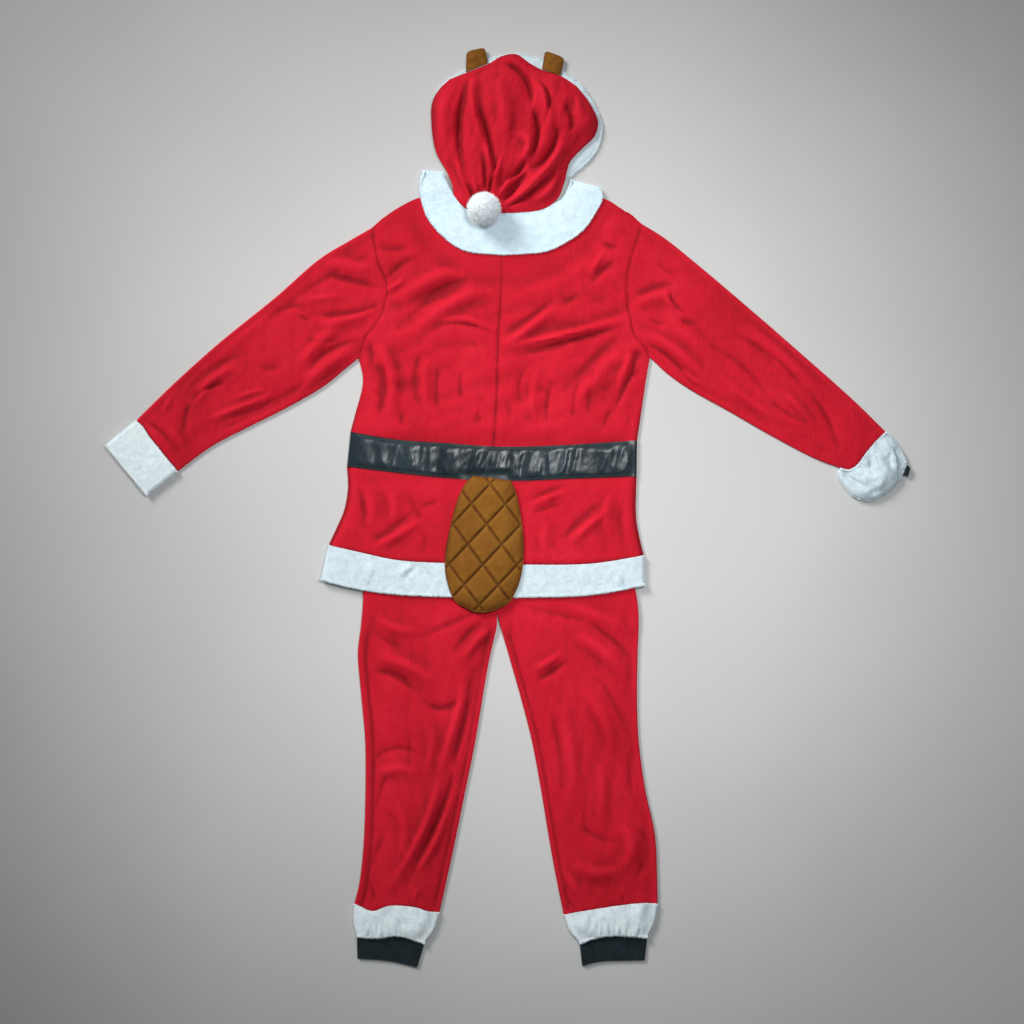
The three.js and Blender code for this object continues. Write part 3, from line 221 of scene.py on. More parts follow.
SLEEVE_FOLDS = [
    (-224, 337, -290, 353, -335, 363, 9, -5.5), (-228, 372, -290, 380, -340, 396, 12, 4),
    (-224, 314, -278, 288, -368, 288, 7, -4.5), (-368, 288, -410, 300, -478, 250, 9, -4),
    (-236, 296, -290, 276, -350, 268, 9, 4), (-388, 285, -377, 279, -365, 276, 4, -3.5),
    (-262, 236, -330, 212, -370, 164, 9, -6), (-370, 164, -420, 120, -523, 82, 9, -5.5),
    (-272, 222, -330, 186, -395, 130, 12, 5), (-300, 268, -350, 226, -400, 160, 12, 4.5),
    (-523, 154, -570, 138, -595, 113, 6, -5.5), (-595, 113, -606, 90, -614, 44, 7, -5.5),
    (-480, 214, -560, 176, -610, 120, 9, -4.5), (-500, 186, -560, 152, -585, 100, 8, 4.5),
    (-700, 86, -660, 62, -634, 28, 5, -4), (-535, 60, -490, 82, -410, 118, 5, -3.6),
    (-560, 80, -500, 104, -430, 130, 7, 3.6), (-430, 300, -490, 256, -560, 196, 15, 4),
    (-250, 400, -340, 352, -420, 300, 9, -2.6), (-300, 240, -340, 232, -372, 240, 5, -2.6),
    (-620, 150, -640, 118, -650, 90, 6, 3), (-560, 210, -590, 180, -610, 150, 6, -2.6),
    (-420, 190, -440, 180, -470, 190, 6, -2.2), (-300, 320, -340, 318, -380, 310, 5, 2.4),
    (-640, 60, -620, 40, -605, 10, 6, 3), (-450, 140, -480, 132, -520, 120, 5, 2.4),
    (266, 320, 311, 340, 357, 347, 7, -4), (266, 300, 300, 318, 340, 326, 7, 3.4),
    (337, 330, 343, 308, 371, 288, 4, -4.5), (330, 334, 334, 314, 350, 298, 4, 3),
    (357, 275, 372, 270, 398, 271, 5, -3.4), (279, 229, 330, 206, 389, 138, 7, -5),
    (292, 249, 345, 216, 410, 160, 10, 4.5), (454, 255, 530, 206, 600, 140, 8, -4.5),
    (600, 140, 640, 88, 669, 8, 8, -4.5), (470, 262, 560, 200, 640, 110, 12, 4.5),
    (409, 229, 480, 182, 526, 125, 8, -3.6), (526, 125, 560, 96, 610, 68, 7, -3.6),
    (558, 134, 591, 100, 625, 58, 6, 3.6), (300, 400, 330, 370, 356, 356, 7, -3),
    (330, 300, 360, 250, 420, 210, 12, 3.4), (440, 160, 500, 110, 560, 76, 8, 3.4),
    (690, 100, 712, 84, 740, 50, 5, -2.6), (640, 170, 680, 126, 720, 84, 9, 3),
    (296, 280, 310, 270, 330, 268, 5, -3), (360, 180, 380, 160, 410, 140, 5, 2.6),
    (500, 230, 540, 196, 580, 152, 6, 2.4)]
LEG_FOLDS = [
    (-9, -300, -54, -334, -90, -380, 7, -5), (-20, -280, -80, -312, -160, -346, 9, -4),
    (-4, -322, -40, -352, -70, -392, 7, 4), (-245, -411, -195, -420, -150, -460, 9, -5.5),
    (-150, -460, -105, -482, -64, -452, 9, -5.5), (-240, -380, -180, -398, -120, -436, 12, 5),
    (-64, -452, -46, -430, -34, -396, 8, -4.5), (-42, -400, -62, -500, -88, -600, 6, -5.5),
    (-88, -600, -110, -690, -190, -850, 7, -6), (-62, -430, -84, -520, -112, -610, 9, 5),
    (-112, -610, -140, -710, -214, -840, 9, 5.5), (-84, -640, -120, -740, -160, -800, 7, 4),
    (-249, -590, -200, -560, -143, -574, 7, -3.4), (-240, -620, -200, -600, -150, -610, 10, 3.4),
    (-235, -690, -226, -640, -206, -600, 7, -3), (-246, -800, -232, -756, -214, -720, 7, -3),
    (-180, -520, -170, -560, -176, -620, 7, -2.6), (-130, -520, -128, -560, -140, -620, 7, 2.6),
    (-236, -300, -200, -326, -150, -330, 9, 3.4), (-240, -330, -210, -352, -160, -366, 7, -3),
    (-200, -660, -180, -720, -190, -780, 8, 2.8), (-150, -830, -160, -848, -156, -864, 5, 2.6),
    (-250, -820, -240, -845, -246, -864, 5, -2.8), (35, -281, 110, -296, 173, -313, 7, -4.5),
    (173, -313, 228, -350, 271, -396, 7, -5), (60, -262, 150, -282, 250, -330, 10, 4),
    (150, -340, 205, -372, 256, -430, 11, 5), (75, -428, 106, -412, 141, -385, 6, -5),
    (70, -408, 100, -392, 130, -370, 7, 3.6), (190, -410, 230, -476, 262, -540, 9, -3.6),
    (170, -440, 205, -500, 230, -570, 11, 3.6), (100, -480, 120, -560, 126, -660, 9, -3),
    (120, -470, 142, -560, 150, -650, 11, 3.4), (271, -715, 296, -760, 262, -818, 8, -5),
    (240, -700, 262, -750, 240, -800, 12, 4), (150, -780, 195, -802, 245, -790, 12, 3.6),
    (160, -700, 190, -730, 240, -742, 9, -3.2), (200, -590, 206, -640, 200, -700, 9, 3),
    (266, -560, 258, -610, 268, -670, 8, -3.2), (180, -640, 170, -690, 176, -740, 8, -2.6),
    (130, -840, 144, -862, 158, -872, 4, -3.2), (136, -800, 150, -830, 170, -858, 6, 3),
    (240, -840, 246, -852, 240, -862, 5, -2.6)]
PEPLUM_FOLDS = [
    (-276, -50, -262, -78, -258, -119, 6, -4.5), (-258, -54, -244, -90, -244, -140, 9, 4),
    (-248, -160, -207, -132, -152, -92, 6, -4), (-152, -92, -132, -84, -108, -78, 5, -3.4),
    (-240, -170, -196, -146, -140, -112, 7, 3.6), (-180, -54, -160, -90, -140, -124, 6, -3),
    (-210, -58, -200, -90, -204, -120, 7, 3), (61, -78, 102, -58, 143, -44, 5, -3.6),
    (64, -90, 100, -72, 136, -62, 5, 3), (66, -104, 96, -92, 124, -84, 4, -2.6),
    (129, -154, 157, -119, 205, -78, 6, -4.5), (142, -160, 176, -128, 220, -92, 7, 4),
    (246, -80, 240, -120, 250, -168, 7, -3), (225, -60, 214, -100, 222, -150, 9, 3),
    (-296, -100, -302, -126, -316, -152, 5, -3), (-180, -236, -166, -215, -145, -202, 5, -3.6),
    (-190, -230, -178, -212, -160, -204, 5, 2.6), (-250, -190, -246, -215, -250, -240, 7, 2),
    (240, -205, 238, -225, 244, -245, 7, 2), (100, -120, 92, -150, 98, -186, 8, 2.8),
    (-150, -140, -140, -160, -144, -186, 7, -2.6)]
CROWN_FOLDS = [
    (-52, 747, -73, 650, -60, 556, 12, -13), (-96, 733, -111, 670, -96, 587, 13, 5),
    (-45, 750, -47, 690, -24, 614, 8, 9), (-24, 614, -14, 580, -12, 545, 7, 9),
    (-33, 690, -14, 620, -4, 560, 6, -8), (-43, 743, -23, 764, 11, 775, 6, -6),
    (-4, 745, 14, 684, 11, 600, 16, 9), (11, 775, 56, 742, 67, 686, 8, -12),
    (67, 686, 80, 632, 56, 584, 8, -12), (56, 584, 40, 560, 18, 540, 7, -10),
    (76, 745, 95, 700, 103, 636, 9, 8), (38, 632, 64, 612, 36, 566, 9, 8),
    (72, 742, 101, 706, 88, 645, 6, -8), (142, 753, 181, 694, 142, 628, 20, 4),
    (118, 650, 104, 600, 62, 562, 9, -10), (62, 562, 40, 542, 14, 521, 6, -8),
    (126, 625, 98, 568, 34, 514, 9, 9), (-60, 540, -50, 521, -42, 504, 5, -6),
    (-48, 548, -41, 530, -36, 512, 4, 6), (-8, 552, -13, 532, -16, 514, 5, -7),
    (59, 553, 35, 528, 11, 504, 5, -7), (104, 553, 60, 517, 20, 494, 5, -6),
    (40, 560, 20, 535, 2, 512, 5, 7), (82, 545, 50, 518, 16, 499, 5, 6),
    (123, 567, 104, 528, 66, 502, 8, 5), (-96, 587, -87, 548, -67, 512, 6, -6),
    (-80, 590, -70, 552, -52, 515, 5, 5), (-28, 600, -24, 560, -22, 520, 5, -6),
    (130, 700, 146, 660, 138, 640, 8, -6), (10, 590, 0, 556, -8, 524, 5, 6),
    (150, 720, 160, 690, 158, 660, 8, 4)]


# ---- small maths -------------------------------------------------------------------------------
def ease(start, stop, t):
    s = np.clip((np.asarray(t, dtype=float) - start) / (stop - start), 0.0, 1.0)
    return s * s * (3 - 2 * s)


def mix(a, b, t):
    return a + (b - a) * t


CURVE_STEPS = 40          # between two points of a smooth line, before it is divided evenly


def line(points, steps):
    """steps equal steps on a smooth line through the points (a centripetal Catmull-Rom curve)."""
    p = np.array(points, dtype=float)
    p = np.vstack([2 * p[0] - p[1], p, 2 * p[-1] - p[-2]])
    dense = []
    for k in range(1, len(p) - 2):
        d0, d1, d2 = (max(np.linalg.norm(p[k + i] - p[k + i - 1]) ** 0.5, 1e-4) for i in (0, 1, 2))
        t1 = ((p[k] - p[k - 1]) / d0 - (p[k + 1] - p[k - 1]) / (d0 + d1) + (p[k + 1] - p[k]) / d1) * d1
        t2 = ((p[k + 1] - p[k]) / d1 - (p[k + 2] - p[k]) / (d1 + d2) + (p[k + 2] - p[k + 1]) / d2) * d1
        t = np.linspace(0, 1, CURVE_STEPS, endpoint=False)[:, None]
        a, b = p[k], p[k + 1]
        dense.append(a + t1 * t + (3 * (b - a) - 2 * t1 - t2) * t ** 2 + (2 * (a - b) + t1 + t2) * t ** 3)
    dense.append(p[-2][None])
    dense = np.vstack(dense)
    return resampled(dense, steps)


def resampled(dense, steps):
    along = np.concatenate([[0], np.cumsum(np.linalg.norm(np.diff(dense, axis=0), axis=1))])
    want = np.linspace(0, along[-1], steps + 1)
    return np.stack([np.interp(want, along, dense[:, k]) for k in (0, 1)], axis=1)


def straight(a, b, steps):
    t = np.linspace(0, 1, steps + 1)[:, None]
    return np.asarray(a, float) * (1 - t) + np.asarray(b, float) * t


def joined(*lines):
    return np.vstack([lines[0]] + [more[1:] for more in lines[1:]])


def grid(start, end, left, right):
    """Floor points between two end lines and two side lines; rows run from start to end."""
    u = np.linspace(0, 1, len(start))[None, :, None]
    v = np.linspace(0, 1, len(left))[:, None, None]
    sides = left[:, None] * (1 - u) + right[:, None] * u
    ends = start[None] * (1 - v) + end[None] * v
    low = left[0] * (1 - u) + right[0] * u
    high = left[-1] * (1 - u) + right[-1] * u
    return sides + ends - (low * (1 - v) + high * v)


def strip(start, end, steps):
    """A grid between two lines, with straight sides."""
    return grid(start, end, straight(start[0], end[0], steps), straight(start[-1], end[-1], steps))


def between(left, right, share):
    """Points from one line to another; share says how far along each column lies, from 0 to 1."""
    return left[:, None] * (1 - share) + right[:, None] * share


def columns(count):
    """Even shares from 0 to 1, for between."""
    return np.linspace(0, 1, count)[None, :, None]


def rim(rows):
    """The line all round a grid."""
    return joined(rows[:, 0], rows[-1], rows[:, -1][::-1], rows[0][::-1])


def pulled(points, towards, distance):
    """A line moved sideways, towards another line with as many points."""
    a = np.vstack([points[:1], points[:-1]])
    b = np.vstack([points[1:], points[-1:]])
    along = b - a
    normal = np.stack([-along[:, 1], along[:, 0]], axis=1)
    normal /= np.maximum(np.linalg.norm(normal, axis=1, keepdims=True), 1e-6)
    side = np.sign((normal * (towards - points)).sum(axis=1, keepdims=True))
    return points + normal * np.where(side == 0, 1, side) * distance


def trimmed(rows, *edges):
    """Half a seam gap taken off the named edges."""
    out = rows.copy()
    if "start" in edges:
        out[0] = pulled(out[0], out[1], SEAM_GAP / 2)
    if "end" in edges:
        out[-1] = pulled(out[-1], out[-2], SEAM_GAP / 2)
    if "left" in edges:
        out[:, 0] = pulled(out[:, 0], out[:, 1], SEAM_GAP / 2)
    if "right" in edges:
        out[:, -1] = pulled(out[:, -1], out[:, -2], SEAM_GAP / 2)
    return out


def to_line(x, y, points):
    """Distance from each point to a list of points."""
    p = np.asarray(points, float)
    flat = np.stack([x.ravel(), y.ravel()], axis=1)
    best = np.full(len(flat), 1e9)
    for a, b in zip(p[:-1], p[1:]):
        ab = b - a
        t = np.clip(((flat - a) @ ab) / max(ab @ ab, 1e-9), 0, 1)[:, None]
        best = np.minimum(best, np.linalg.norm(flat - a - t * ab, axis=1))
    return best.reshape(x.shape)


FOLD_STEPS = 24
FOLD_REACH = 3.6          # a fold is left out beyond this many widths


def relief(folds, x, y, crest=CREST, crease=CREASE):
    """Height of a table of folds: round crests and thin creases, which die out at their ends."""
    height = np.zeros_like(x)
    for x0, y0, xm, ym, x1, y1, wide, rise in folds:
        reach = FOLD_REACH * wide
        low = min(x0, xm, x1) - reach, min(y0, ym, y1) - reach
        high = max(x0, xm, x1) + reach, max(y0, ym, y1) + reach
        near = (x > low[0]) & (x < high[0]) & (y > low[1]) & (y < high[1])
        if not near.any():
            continue
        px, py = x[near], y[near]
        t = np.linspace(0, 1, FOLD_STEPS + 1)[:, None]
        # a quadratic curve that passes through the middle point
        control = 2 * np.array([xm, ym], float) - 0.5 * np.array([x0 + x1, y0 + y1], float)
        curve = (1 - t) ** 2 * np.array([x0, y0]) + 2 * t * (1 - t) * control + t ** 2 * np.array([x1, y1])
        best = np.full(px.shape, 1e9)
        along = np.zeros(px.shape)
        for k in range(FOLD_STEPS):
            a, b = curve[k], curve[k + 1]
            ab = b - a
            s = np.clip(((px - a[0]) * ab[0] + (py - a[1]) * ab[1]) / max(ab @ ab, 1e-9), 0, 1)
            d = np.hypot(px - a[0] - s * ab[0], py - a[1] - s * ab[1])
            closer = d < best
            best = np.where(closer, d, best)
            along = np.where(closer, (k + s) / FOLD_STEPS, along)
        taper = np.sin(np.pi * mix(0.02, 0.98, along)) ** 1.1
        apart = best / wide
        if rise > 0:
            height[near] += crest * rise * taper * np.exp(-apart ** 2)
        else:
            thin, soft = np.exp(-(apart / 0.6) ** 2), np.exp(-(apart / 1.6) ** 2)
            height[near] += crease * rise * taper * (0.6 * thin + 0.4 * soft)
    return height


def rumple(x, y, angle, long, short, seed):
    """Noise between -1 and 1, stretched along an angle in degrees."""
    c, s = math.cos(math.radians(angle)), math.sin(math.radians(angle))
    u = (x * c + y * s) / long
    v = (-x * s + y * c) / short
    values = [noise.noise((a, b, seed)) for a, b in zip(u.ravel().tolist(), v.ravel().tolist())]
    return np.array(values).reshape(x.shape)


def rumples(x, y, waves):
    """Noise summed from a table of (height, angle, long, short, seed)."""
    return sum(height * rumple(x, y, *wave) for height, *wave in waves)


def ridges(x, y, angle, long, short, seed, sharp=2.6, middle=1.0):
    """Noise with sharp crests where it passes zero."""
    return middle - sharp * np.abs(rumple(x, y, angle, long, short, seed))


def level(z):
    """A flat surface at the height z."""
    return lambda x, y, from_edge=None: np.full_like(x, z)


# ---- meshes ------------------------------------------------------------------------------------
def wall_faces(rows, wide, loop):
    """Quads of a closed wall: outer grid, inner grid and the strips that join them."""
    index = np.arange(rows * wide).reshape(rows, wide)
    outer = np.hstack([index, index[:, :1]]) if loop else index
    inner = outer + rows * wide
    quads = [np.stack([outer[:-1, :-1], outer[:-1, 1:], outer[1:, 1:], outer[1:, :-1]], axis=-1),
             np.stack([inner[:-1, :-1], inner[1:, :-1], inner[1:, 1:], inner[:-1, 1:]], axis=-1)]
    ends = [np.stack([outer[0, :-1], inner[0, :-1], inner[0, 1:], outer[0, 1:]], axis=-1),
            np.stack([outer[-1, 1:], inner[-1, 1:], inner[-1, :-1], outer[-1, :-1]], axis=-1)]
    if not loop:
        ends.append(np.stack([outer[1:, 0], inner[1:, 0], inner[:-1, 0], outer[:-1, 0]], axis=-1))
        ends.append(np.stack([outer[:-1, -1], inner[:-1, -1], inner[1:, -1], outer[1:, -1]], axis=-1))
    return np.vstack([q.reshape(-1, 4) for q in quads] + ends)


def signed_volume(points, faces):
    a, b, c, d = (points[faces[:, k]] for k in range(4))
    return ((a * np.cross(b, c)).sum() + (a * np.cross(c, d)).sum()) / 6


def make_object(name, points, faces, material, nodes=(), sharp=48, crease=None, normals=None):
    """A piece of the suit from points in millimetres; nodes are the solids that it stands for."""
    mesh = bpy.data.meshes.new(name)
    mesh.from_pydata((np.asarray(points) * MM).tolist(), [], [[int(k) for k in face] for face in faces])
    mesh.polygons.foreach_set("use_smooth", [True] * len(mesh.polygons))
    if sharp:
        mesh.set_sharp_from_angle(angle=math.radians(sharp))
    if crease is not None:
        values = np.zeros(len(points))
        values[:len(crease)] = crease
        mesh.attributes.new("crease", "FLOAT", "POINT").data.foreach_set("value", values)
    mesh.materials.append(material)
    mesh.update()
    if normals is not None:
        mesh.normals_split_custom_set_from_vertices(normals.tolist())
    piece = bpy.data.objects.new(name, mesh)
    bpy.context.collection.objects.link(piece)
    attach(piece, "root")
    if nodes:
        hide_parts(*nodes)
    return piece


SMOOTHINGS = 14


def crease_depth(face, deep=2.2):
    """How far each point lies above (to 1) or below (to -1) the cloth around it."""
    z = face[..., 2]
    smooth = z
    for _ in range(SMOOTHINGS):
        padded = np.pad(smooth, 1, mode="edge")
        smooth = (padded[:-2, 1:-1] + padded[2:, 1:-1] + padded[1:-1, :-2] + padded[1:-1, 2:] + smooth) / 5
    return np.clip((z - smooth) / deep, -1, 1)


def wall(name, outer, inner, loop, material, nodes=(), seams=()):
    """A closed wall between two grids; seams are (line, how much painted shade darkens the cloth along it).
    """
    points = np.vstack([outer.reshape(-1, 3), inner.reshape(-1, 3)])
    faces = wall_faces(outer.shape[0], outer.shape[1], loop)
    if signed_volume(points, faces) < 0:
        faces = faces[:, ::-1]
    # the crease value is painted as shade in troughs and as a highlight on crests
    crease = crease_depth(outer)
    x, y = outer[..., 0], outer[..., 1]
    for seam, shade in seams:
        # the painted shade along a seam is darker in some places than in others
        uneven = 0.75 + 0.5 * rumple(x, y, 0, 40, 40, 5.5)
        crease = crease - shade * uneven * np.exp(-(to_line(x, y, seam) / SEAM_SHADE) ** 2)
    return make_object(name, points, faces, material, nodes, crease=np.clip(crease, -1, 1).ravel())


def with_z(rows, z):
    return np.concatenate([rows, np.broadcast_to(z, rows.shape[:2])[..., None]], axis=-1)


def panel(rows, thick, top):
    """The upper and the lower face of one layer of cloth."""
    z = top(rows[..., 0], rows[..., 1])
    return with_z(rows, z), with_z(rows, z - thick)


def narrowed(rows, left, right):
    """Each row drawn in from its two ends by the lengths given."""
    out = np.empty_like(rows)
    for i, row in enumerate(rows):
        along = np.concatenate([[0], np.cumsum(np.linalg.norm(np.diff(row, axis=0), axis=1))])
        want = left[i] + along / along[-1] * (along[-1] - left[i] - right[i])
        out[i, :, 0] = np.interp(want, along, row[:, 0])
        out[i, :, 1] = np.interp(want, along, row[:, 1])
    return out


ARC_STEPS = 6             # facets round a fold
SEAM_FLAT = 9             # width over which the two layers close up to a seam


def folded(rows, thick, closed, bottom, top, lower_step=3):
    """Cloth folded flat on itself: the fold is at each row's right end, and at its left end a seam,
    or a fold too where closed is true."""
    def radius_at(edge):
        x, y = rows[:, edge, 0], rows[:, edge, 1]
        return (top(x, y, np.zeros_like(x)) - bottom(x, y)) / 2
    right = radius_at(-1)
    left = radius_at(0) if closed else np.zeros(len(rows))
    drawn = narrowed(rows, left, right)
    x, y = drawn[..., 0], drawn[..., 1]
    from_left = np.linalg.norm(drawn - rows[:, :1], axis=-1) - left[:, None]
    from_right = np.linalg.norm(drawn - rows[:, -1:], axis=-1) - right[:, None]
    z = top(x, y, np.maximum(np.minimum(from_left, from_right), 0))
    low = bottom(x, y)
    if not closed:
        z = mix(low + 2 * thick + GAP, z, ease(0, SEAM_FLAT, from_left))
    lower = np.unique(np.concatenate([np.arange(0, rows.shape[1], lower_step), [rows.shape[1] - 1]]))
    outer = [with_z(drawn[:, lower], low[:, lower])]
    inner = [with_z(drawn[:, lower], low[:, lower] + thick)]

    def arc(edge, radius, base, backwards):
        inward = (drawn[:, edge] - rows[:, edge]) / np.maximum(radius, 1e-6)[:, None]
        angles = np.radians(np.linspace(-90, 90, ARC_STEPS + 1)[1:-1])
        for angle in angles[::-1] if backwards else angles:
            for target, r in ((outer, radius), (inner, radius - thick)):
                at = rows[:, edge] + inward * (radius - r * math.cos(angle))[:, None]
                height = base + radius + r * math.sin(angle)
                target.append(np.concatenate([at, height[:, None]], axis=1)[:, None])
    arc(-1, right, low[:, -1], False)
    outer.append(with_z(drawn, z)[:, ::-1])
    inner.append(with_z(drawn, z - thick)[:, ::-1])
    if closed:
        arc(0, left, low[:, 0], True)
    return np.concatenate(outer, axis=1), np.concatenate(inner, axis=1)


cut = {}                  # flat area of each cloth piece, in square metres


def loop_area(points):
    x, y = points.T
    return abs((x * np.roll(y, -1) - y * np.roll(x, -1)).sum()) / 2 * MM * MM


def cut_area(rows):
    return loop_area(joined(rows[0], rows[:, -1], rows[-1][::-1], rows[:, 0][::-1]))


# ---- materials ---------------------------------------------------------------------------------
def new_material(name, roughness, **inputs):
    m = bpy.data.materials.new(name)
    m.use_nodes = True
    shader = m.node_tree.nodes["Principled BSDF"]
    shader.inputs["Roughness"].default_value = roughness
    for key, value in inputs.items():
        shader.inputs[key.replace("_", " ")].default_value = value
    return m, m.node_tree, shader


def node(tree, kind, **values):
    n = tree.nodes.new(kind)
    for key, value in values.items():
        if key in n.inputs:
            n.inputs[key].default_value = value
        else:
            setattr(n, key, value)
    return n


def noise_node(tree, scale, detail=3.0, stretch=None, roughness=0.55):
    """Noise in the piece's own space; stretch is (x scale, y scale, turn in degrees)."""
    place = node(tree, "ShaderNodeTexCoord")
    texture = node(tree, "ShaderNodeTexNoise", Scale=scale, Detail=detail, Roughness=roughness)
    if stretch:
        mapping = node(tree, "ShaderNodeMapping")
        mapping.inputs["Rotation"].default_value = (0, 0, math.radians(stretch[2]))
        mapping.inputs["Scale"].default_value = (stretch[0], stretch[1], 1)
        tree.links.new(place.outputs["Object"], mapping.inputs["Vector"])
        tree.links.new(mapping.outputs["Vector"], texture.inputs["Vector"])
    else:
        tree.links.new(place.outputs["Object"], texture.inputs["Vector"])
    return texture


def ramp(tree, source, stops):
    """Colours along a texture's value, from (value, colour)."""
    r = node(tree, "ShaderNodeValToRGB")
    while len(r.color_ramp.elements) < len(stops):
        r.color_ramp.elements.new(0.5)
    for element, (at, colour) in zip(r.color_ramp.elements, stops):
        element.position = at
        element.color = (*colour, 1.0)
    tree.links.new(source, r.inputs["Fac"])
    return r


def blend_colours(tree, kind, factor, a, b):
    m = node(tree, "ShaderNodeMix", data_type="RGBA", blend_type=kind)
    m.inputs["Factor"].default_value = factor
    tree.links.new(a, m.inputs[6])
    tree.links.new(b, m.inputs[7])
    return m.outputs[2]


def bump(tree, shader, heights):
    """A chain of bumps from (height socket, strength, distance in metres)."""
    previous = None
    for height, strength, distance in heights:
        b = node(tree, "ShaderNodeBump", Strength=strength, Distance=distance)
        tree.links.new(height, b.inputs["Height"])
        if previous:
            tree.links.new(previous, b.inputs["Normal"])
        previous = b.outputs["Normal"]
    tree.links.new(previous, shader.inputs["Normal"])


UNCHANGED = (1.0, 1.0, 1.0)
# painted shade in troughs and a painted highlight on crests: the cloth's colour is multiplied by these
TROUGH_PAINTED_SHADE = (0.52, 0.44, 0.48)         # what the cloth's colour is multiplied by in a deep trough
CREST_PAINTED_HIGHLIGHT = (1.10, 1.3, 1.2)
NAP_SHADE = (0.80, 0.80, 0.80)
WARM_PILE = (1.0, 0.985, 0.95)


def velour(name, dark, middle, light, sheen):
    m, tree, shader = new_material(name, 0.85, Sheen_Weight=0.10, Sheen_Roughness=0.4,
                                   Specular_IOR_Level=0.22)
    shader.inputs["Sheen Tint"].default_value = (*sheen, 1.0)
    patches = noise_node(tree, 9.0, 3.0, (1.0, 0.6, 35))
    nap = noise_node(tree, 170.0, 4.0, (1.0, 0.4, 62))
    creases = noise_node(tree, 34.0, 5.0, (1.0, 0.35, 40), 0.62)
    base = ramp(tree, patches.outputs["Fac"], [(0.30, dark), (0.5, middle), (0.72, light)])
    fine = ramp(tree, nap.outputs["Fac"], [(0.28, NAP_SHADE), (0.72, UNCHANGED)])
    napped = blend_colours(tree, "MULTIPLY", 0.6, base.outputs["Color"], fine.outputs["Color"])
    # painted shade in a trough and a painted highlight on a crest, from the crease value
    crease = node(tree, "ShaderNodeAttribute", attribute_name="crease")
    half = node(tree, "ShaderNodeMath", operation="MULTIPLY_ADD")
    half.inputs[1].default_value = 0.5
    half.inputs[2].default_value = 0.5
    tree.links.new(crease.outputs["Fac"], half.inputs[0])
    shade = ramp(tree, half.outputs["Value"], [(0.05, TROUGH_PAINTED_SHADE), (0.5, UNCHANGED), (0.85, CREST_PAINTED_HIGHLIGHT)])
    colour = blend_colours(tree, "MULTIPLY", 1.0, napped, shade.outputs["Color"])
    tree.links.new(colour, shader.inputs["Base Color"])
    bump(tree, shader, [(creases.outputs["Fac"], 0.55, 0.006), (nap.outputs["Fac"], 0.35, 0.0014)])
    return m


def fleece(name, dark, light):
    m, tree, shader = new_material(name, 0.95, Sheen_Weight=0.2, Sheen_Roughness=0.6, Specular_IOR_Level=0.15)
    clumps = noise_node(tree, 70.0, 3.0)
    patches = noise_node(tree, 9.0, 2.0)
    base = ramp(tree, clumps.outputs["Fac"], [(0.34, dark), (0.56, light)])
    tint = ramp(tree, patches.outputs["Fac"], [(0.42, UNCHANGED), (0.72, WARM_PILE)])
    colour = blend_colours(tree, "MULTIPLY", 1.0, base.outputs["Color"], tint.outputs["Color"])
    tree.links.new(colour, shader.inputs["Base Color"])
    bump(tree, shader, [(clumps.outputs["Fac"], 0.22, 0.0022)])
    return m


def coated(name):
    m, tree, shader = new_material(name, 0.30, Specular_IOR_Level=0.34)
    broad = noise_node(tree, 14.0, 2.0, (1.0, 0.5, 8), 0.5)
    grain = noise_node(tree, 120.0, 3.0, (1.0, 0.7, 15))
    colour = ramp(tree, broad.outputs["Fac"], [(0.35, (0.009, 0.017, 0.021)), (0.7, (0.022, 0.037, 0.045))])
    tree.links.new(colour.outputs["Color"], shader.inputs["Base Color"])
    rough = ramp(tree, grain.outputs["Fac"], [(0.3, (0.25,) * 3), (0.7, (0.36,) * 3)])
    tree.links.new(rough.outputs["Color"], shader.inputs["Roughness"])
    wrinkles = noise_node(tree, 60.0, 3.0, (1.0, 0.45, 12))
    bump(tree, shader, [(broad.outputs["Fac"], 0.40, 0.012), (wrinkles.outputs["Fac"], 0.18, 0.003),
                        (grain.outputs["Fac"], 0.10, 0.0008)])
    return m


def rib_knit(name):
    m, tree, shader = new_material(name, 0.92, Sheen_Weight=0.12, Specular_IOR_Level=0.2)
    place = node(tree, "ShaderNodeTexCoord")
    ribs = node(tree, "ShaderNodeTexWave", wave_type="BANDS", bands_direction="X", Scale=95.0, Distortion=1.5)
    tree.links.new(place.outputs["Object"], ribs.inputs["Vector"])
    speckle = noise_node(tree, 60.0, 3.0)
    colour = ramp(tree, speckle.outputs["Fac"], [(0.3, (0.007, 0.013, 0.017)), (0.7, (0.013, 0.026, 0.032))])
    tree.links.new(colour.outputs["Color"], shader.inputs["Base Color"])
    bump(tree, shader, [(ribs.outputs["Fac"], 0.12, 0.0006), (speckle.outputs["Fac"], 0.3, 0.002)])
    return m


def thread(name, colour, roughness=0.6):
    m, tree, shader = new_material(name, roughness)
    fibres = noise_node(tree, 900.0, 2.0)
    low = tuple(c * 0.7 for c in colour)
    shade = ramp(tree, fibres.outputs["Fac"], [(0.3, low), (0.7, colour)])
    tree.links.new(shade.outputs["Color"], shader.inputs["Base Color"])
    return m


RED = velour("red velour", dark=(0.50, 0.004, 0.016), middle=(0.575, 0.005, 0.021),
             light=(0.63, 0.008, 0.027), sheen=(1.0, 0.3, 0.35))
WHITE = fleece("white fleece", dark=(0.60, 0.71, 0.77), light=(0.67, 0.79, 0.85))
# painted light: copies of the same white fleece, made brighter for the ankle bands, the left cuff and the
# collar
FLEECE_PAINTED_BRIGHTER = fleece("white fleece, brushed", dark=(0.80, 0.91, 0.98), light=(0.86, 0.97, 1.0))
COLLAR_WHITE = fleece("white fleece, collar", dark=(0.65, 0.81, 0.91), light=(0.71, 0.89, 0.98))
BLACK = coated("black coated cloth")
RIB = rib_knit("charcoal rib")
BROWN = velour("brown plush", dark=(0.16, 0.054, 0.004), middle=(0.205, 0.073, 0.006),
               light=(0.25, 0.097, 0.010), sheen=(0.9, 0.6, 0.3))
BLACK_THREAD = thread("black thread", (0.10, 0.12, 0.125))
BROWN_THREAD = thread("brown thread", (0.10, 0.040, 0.006))


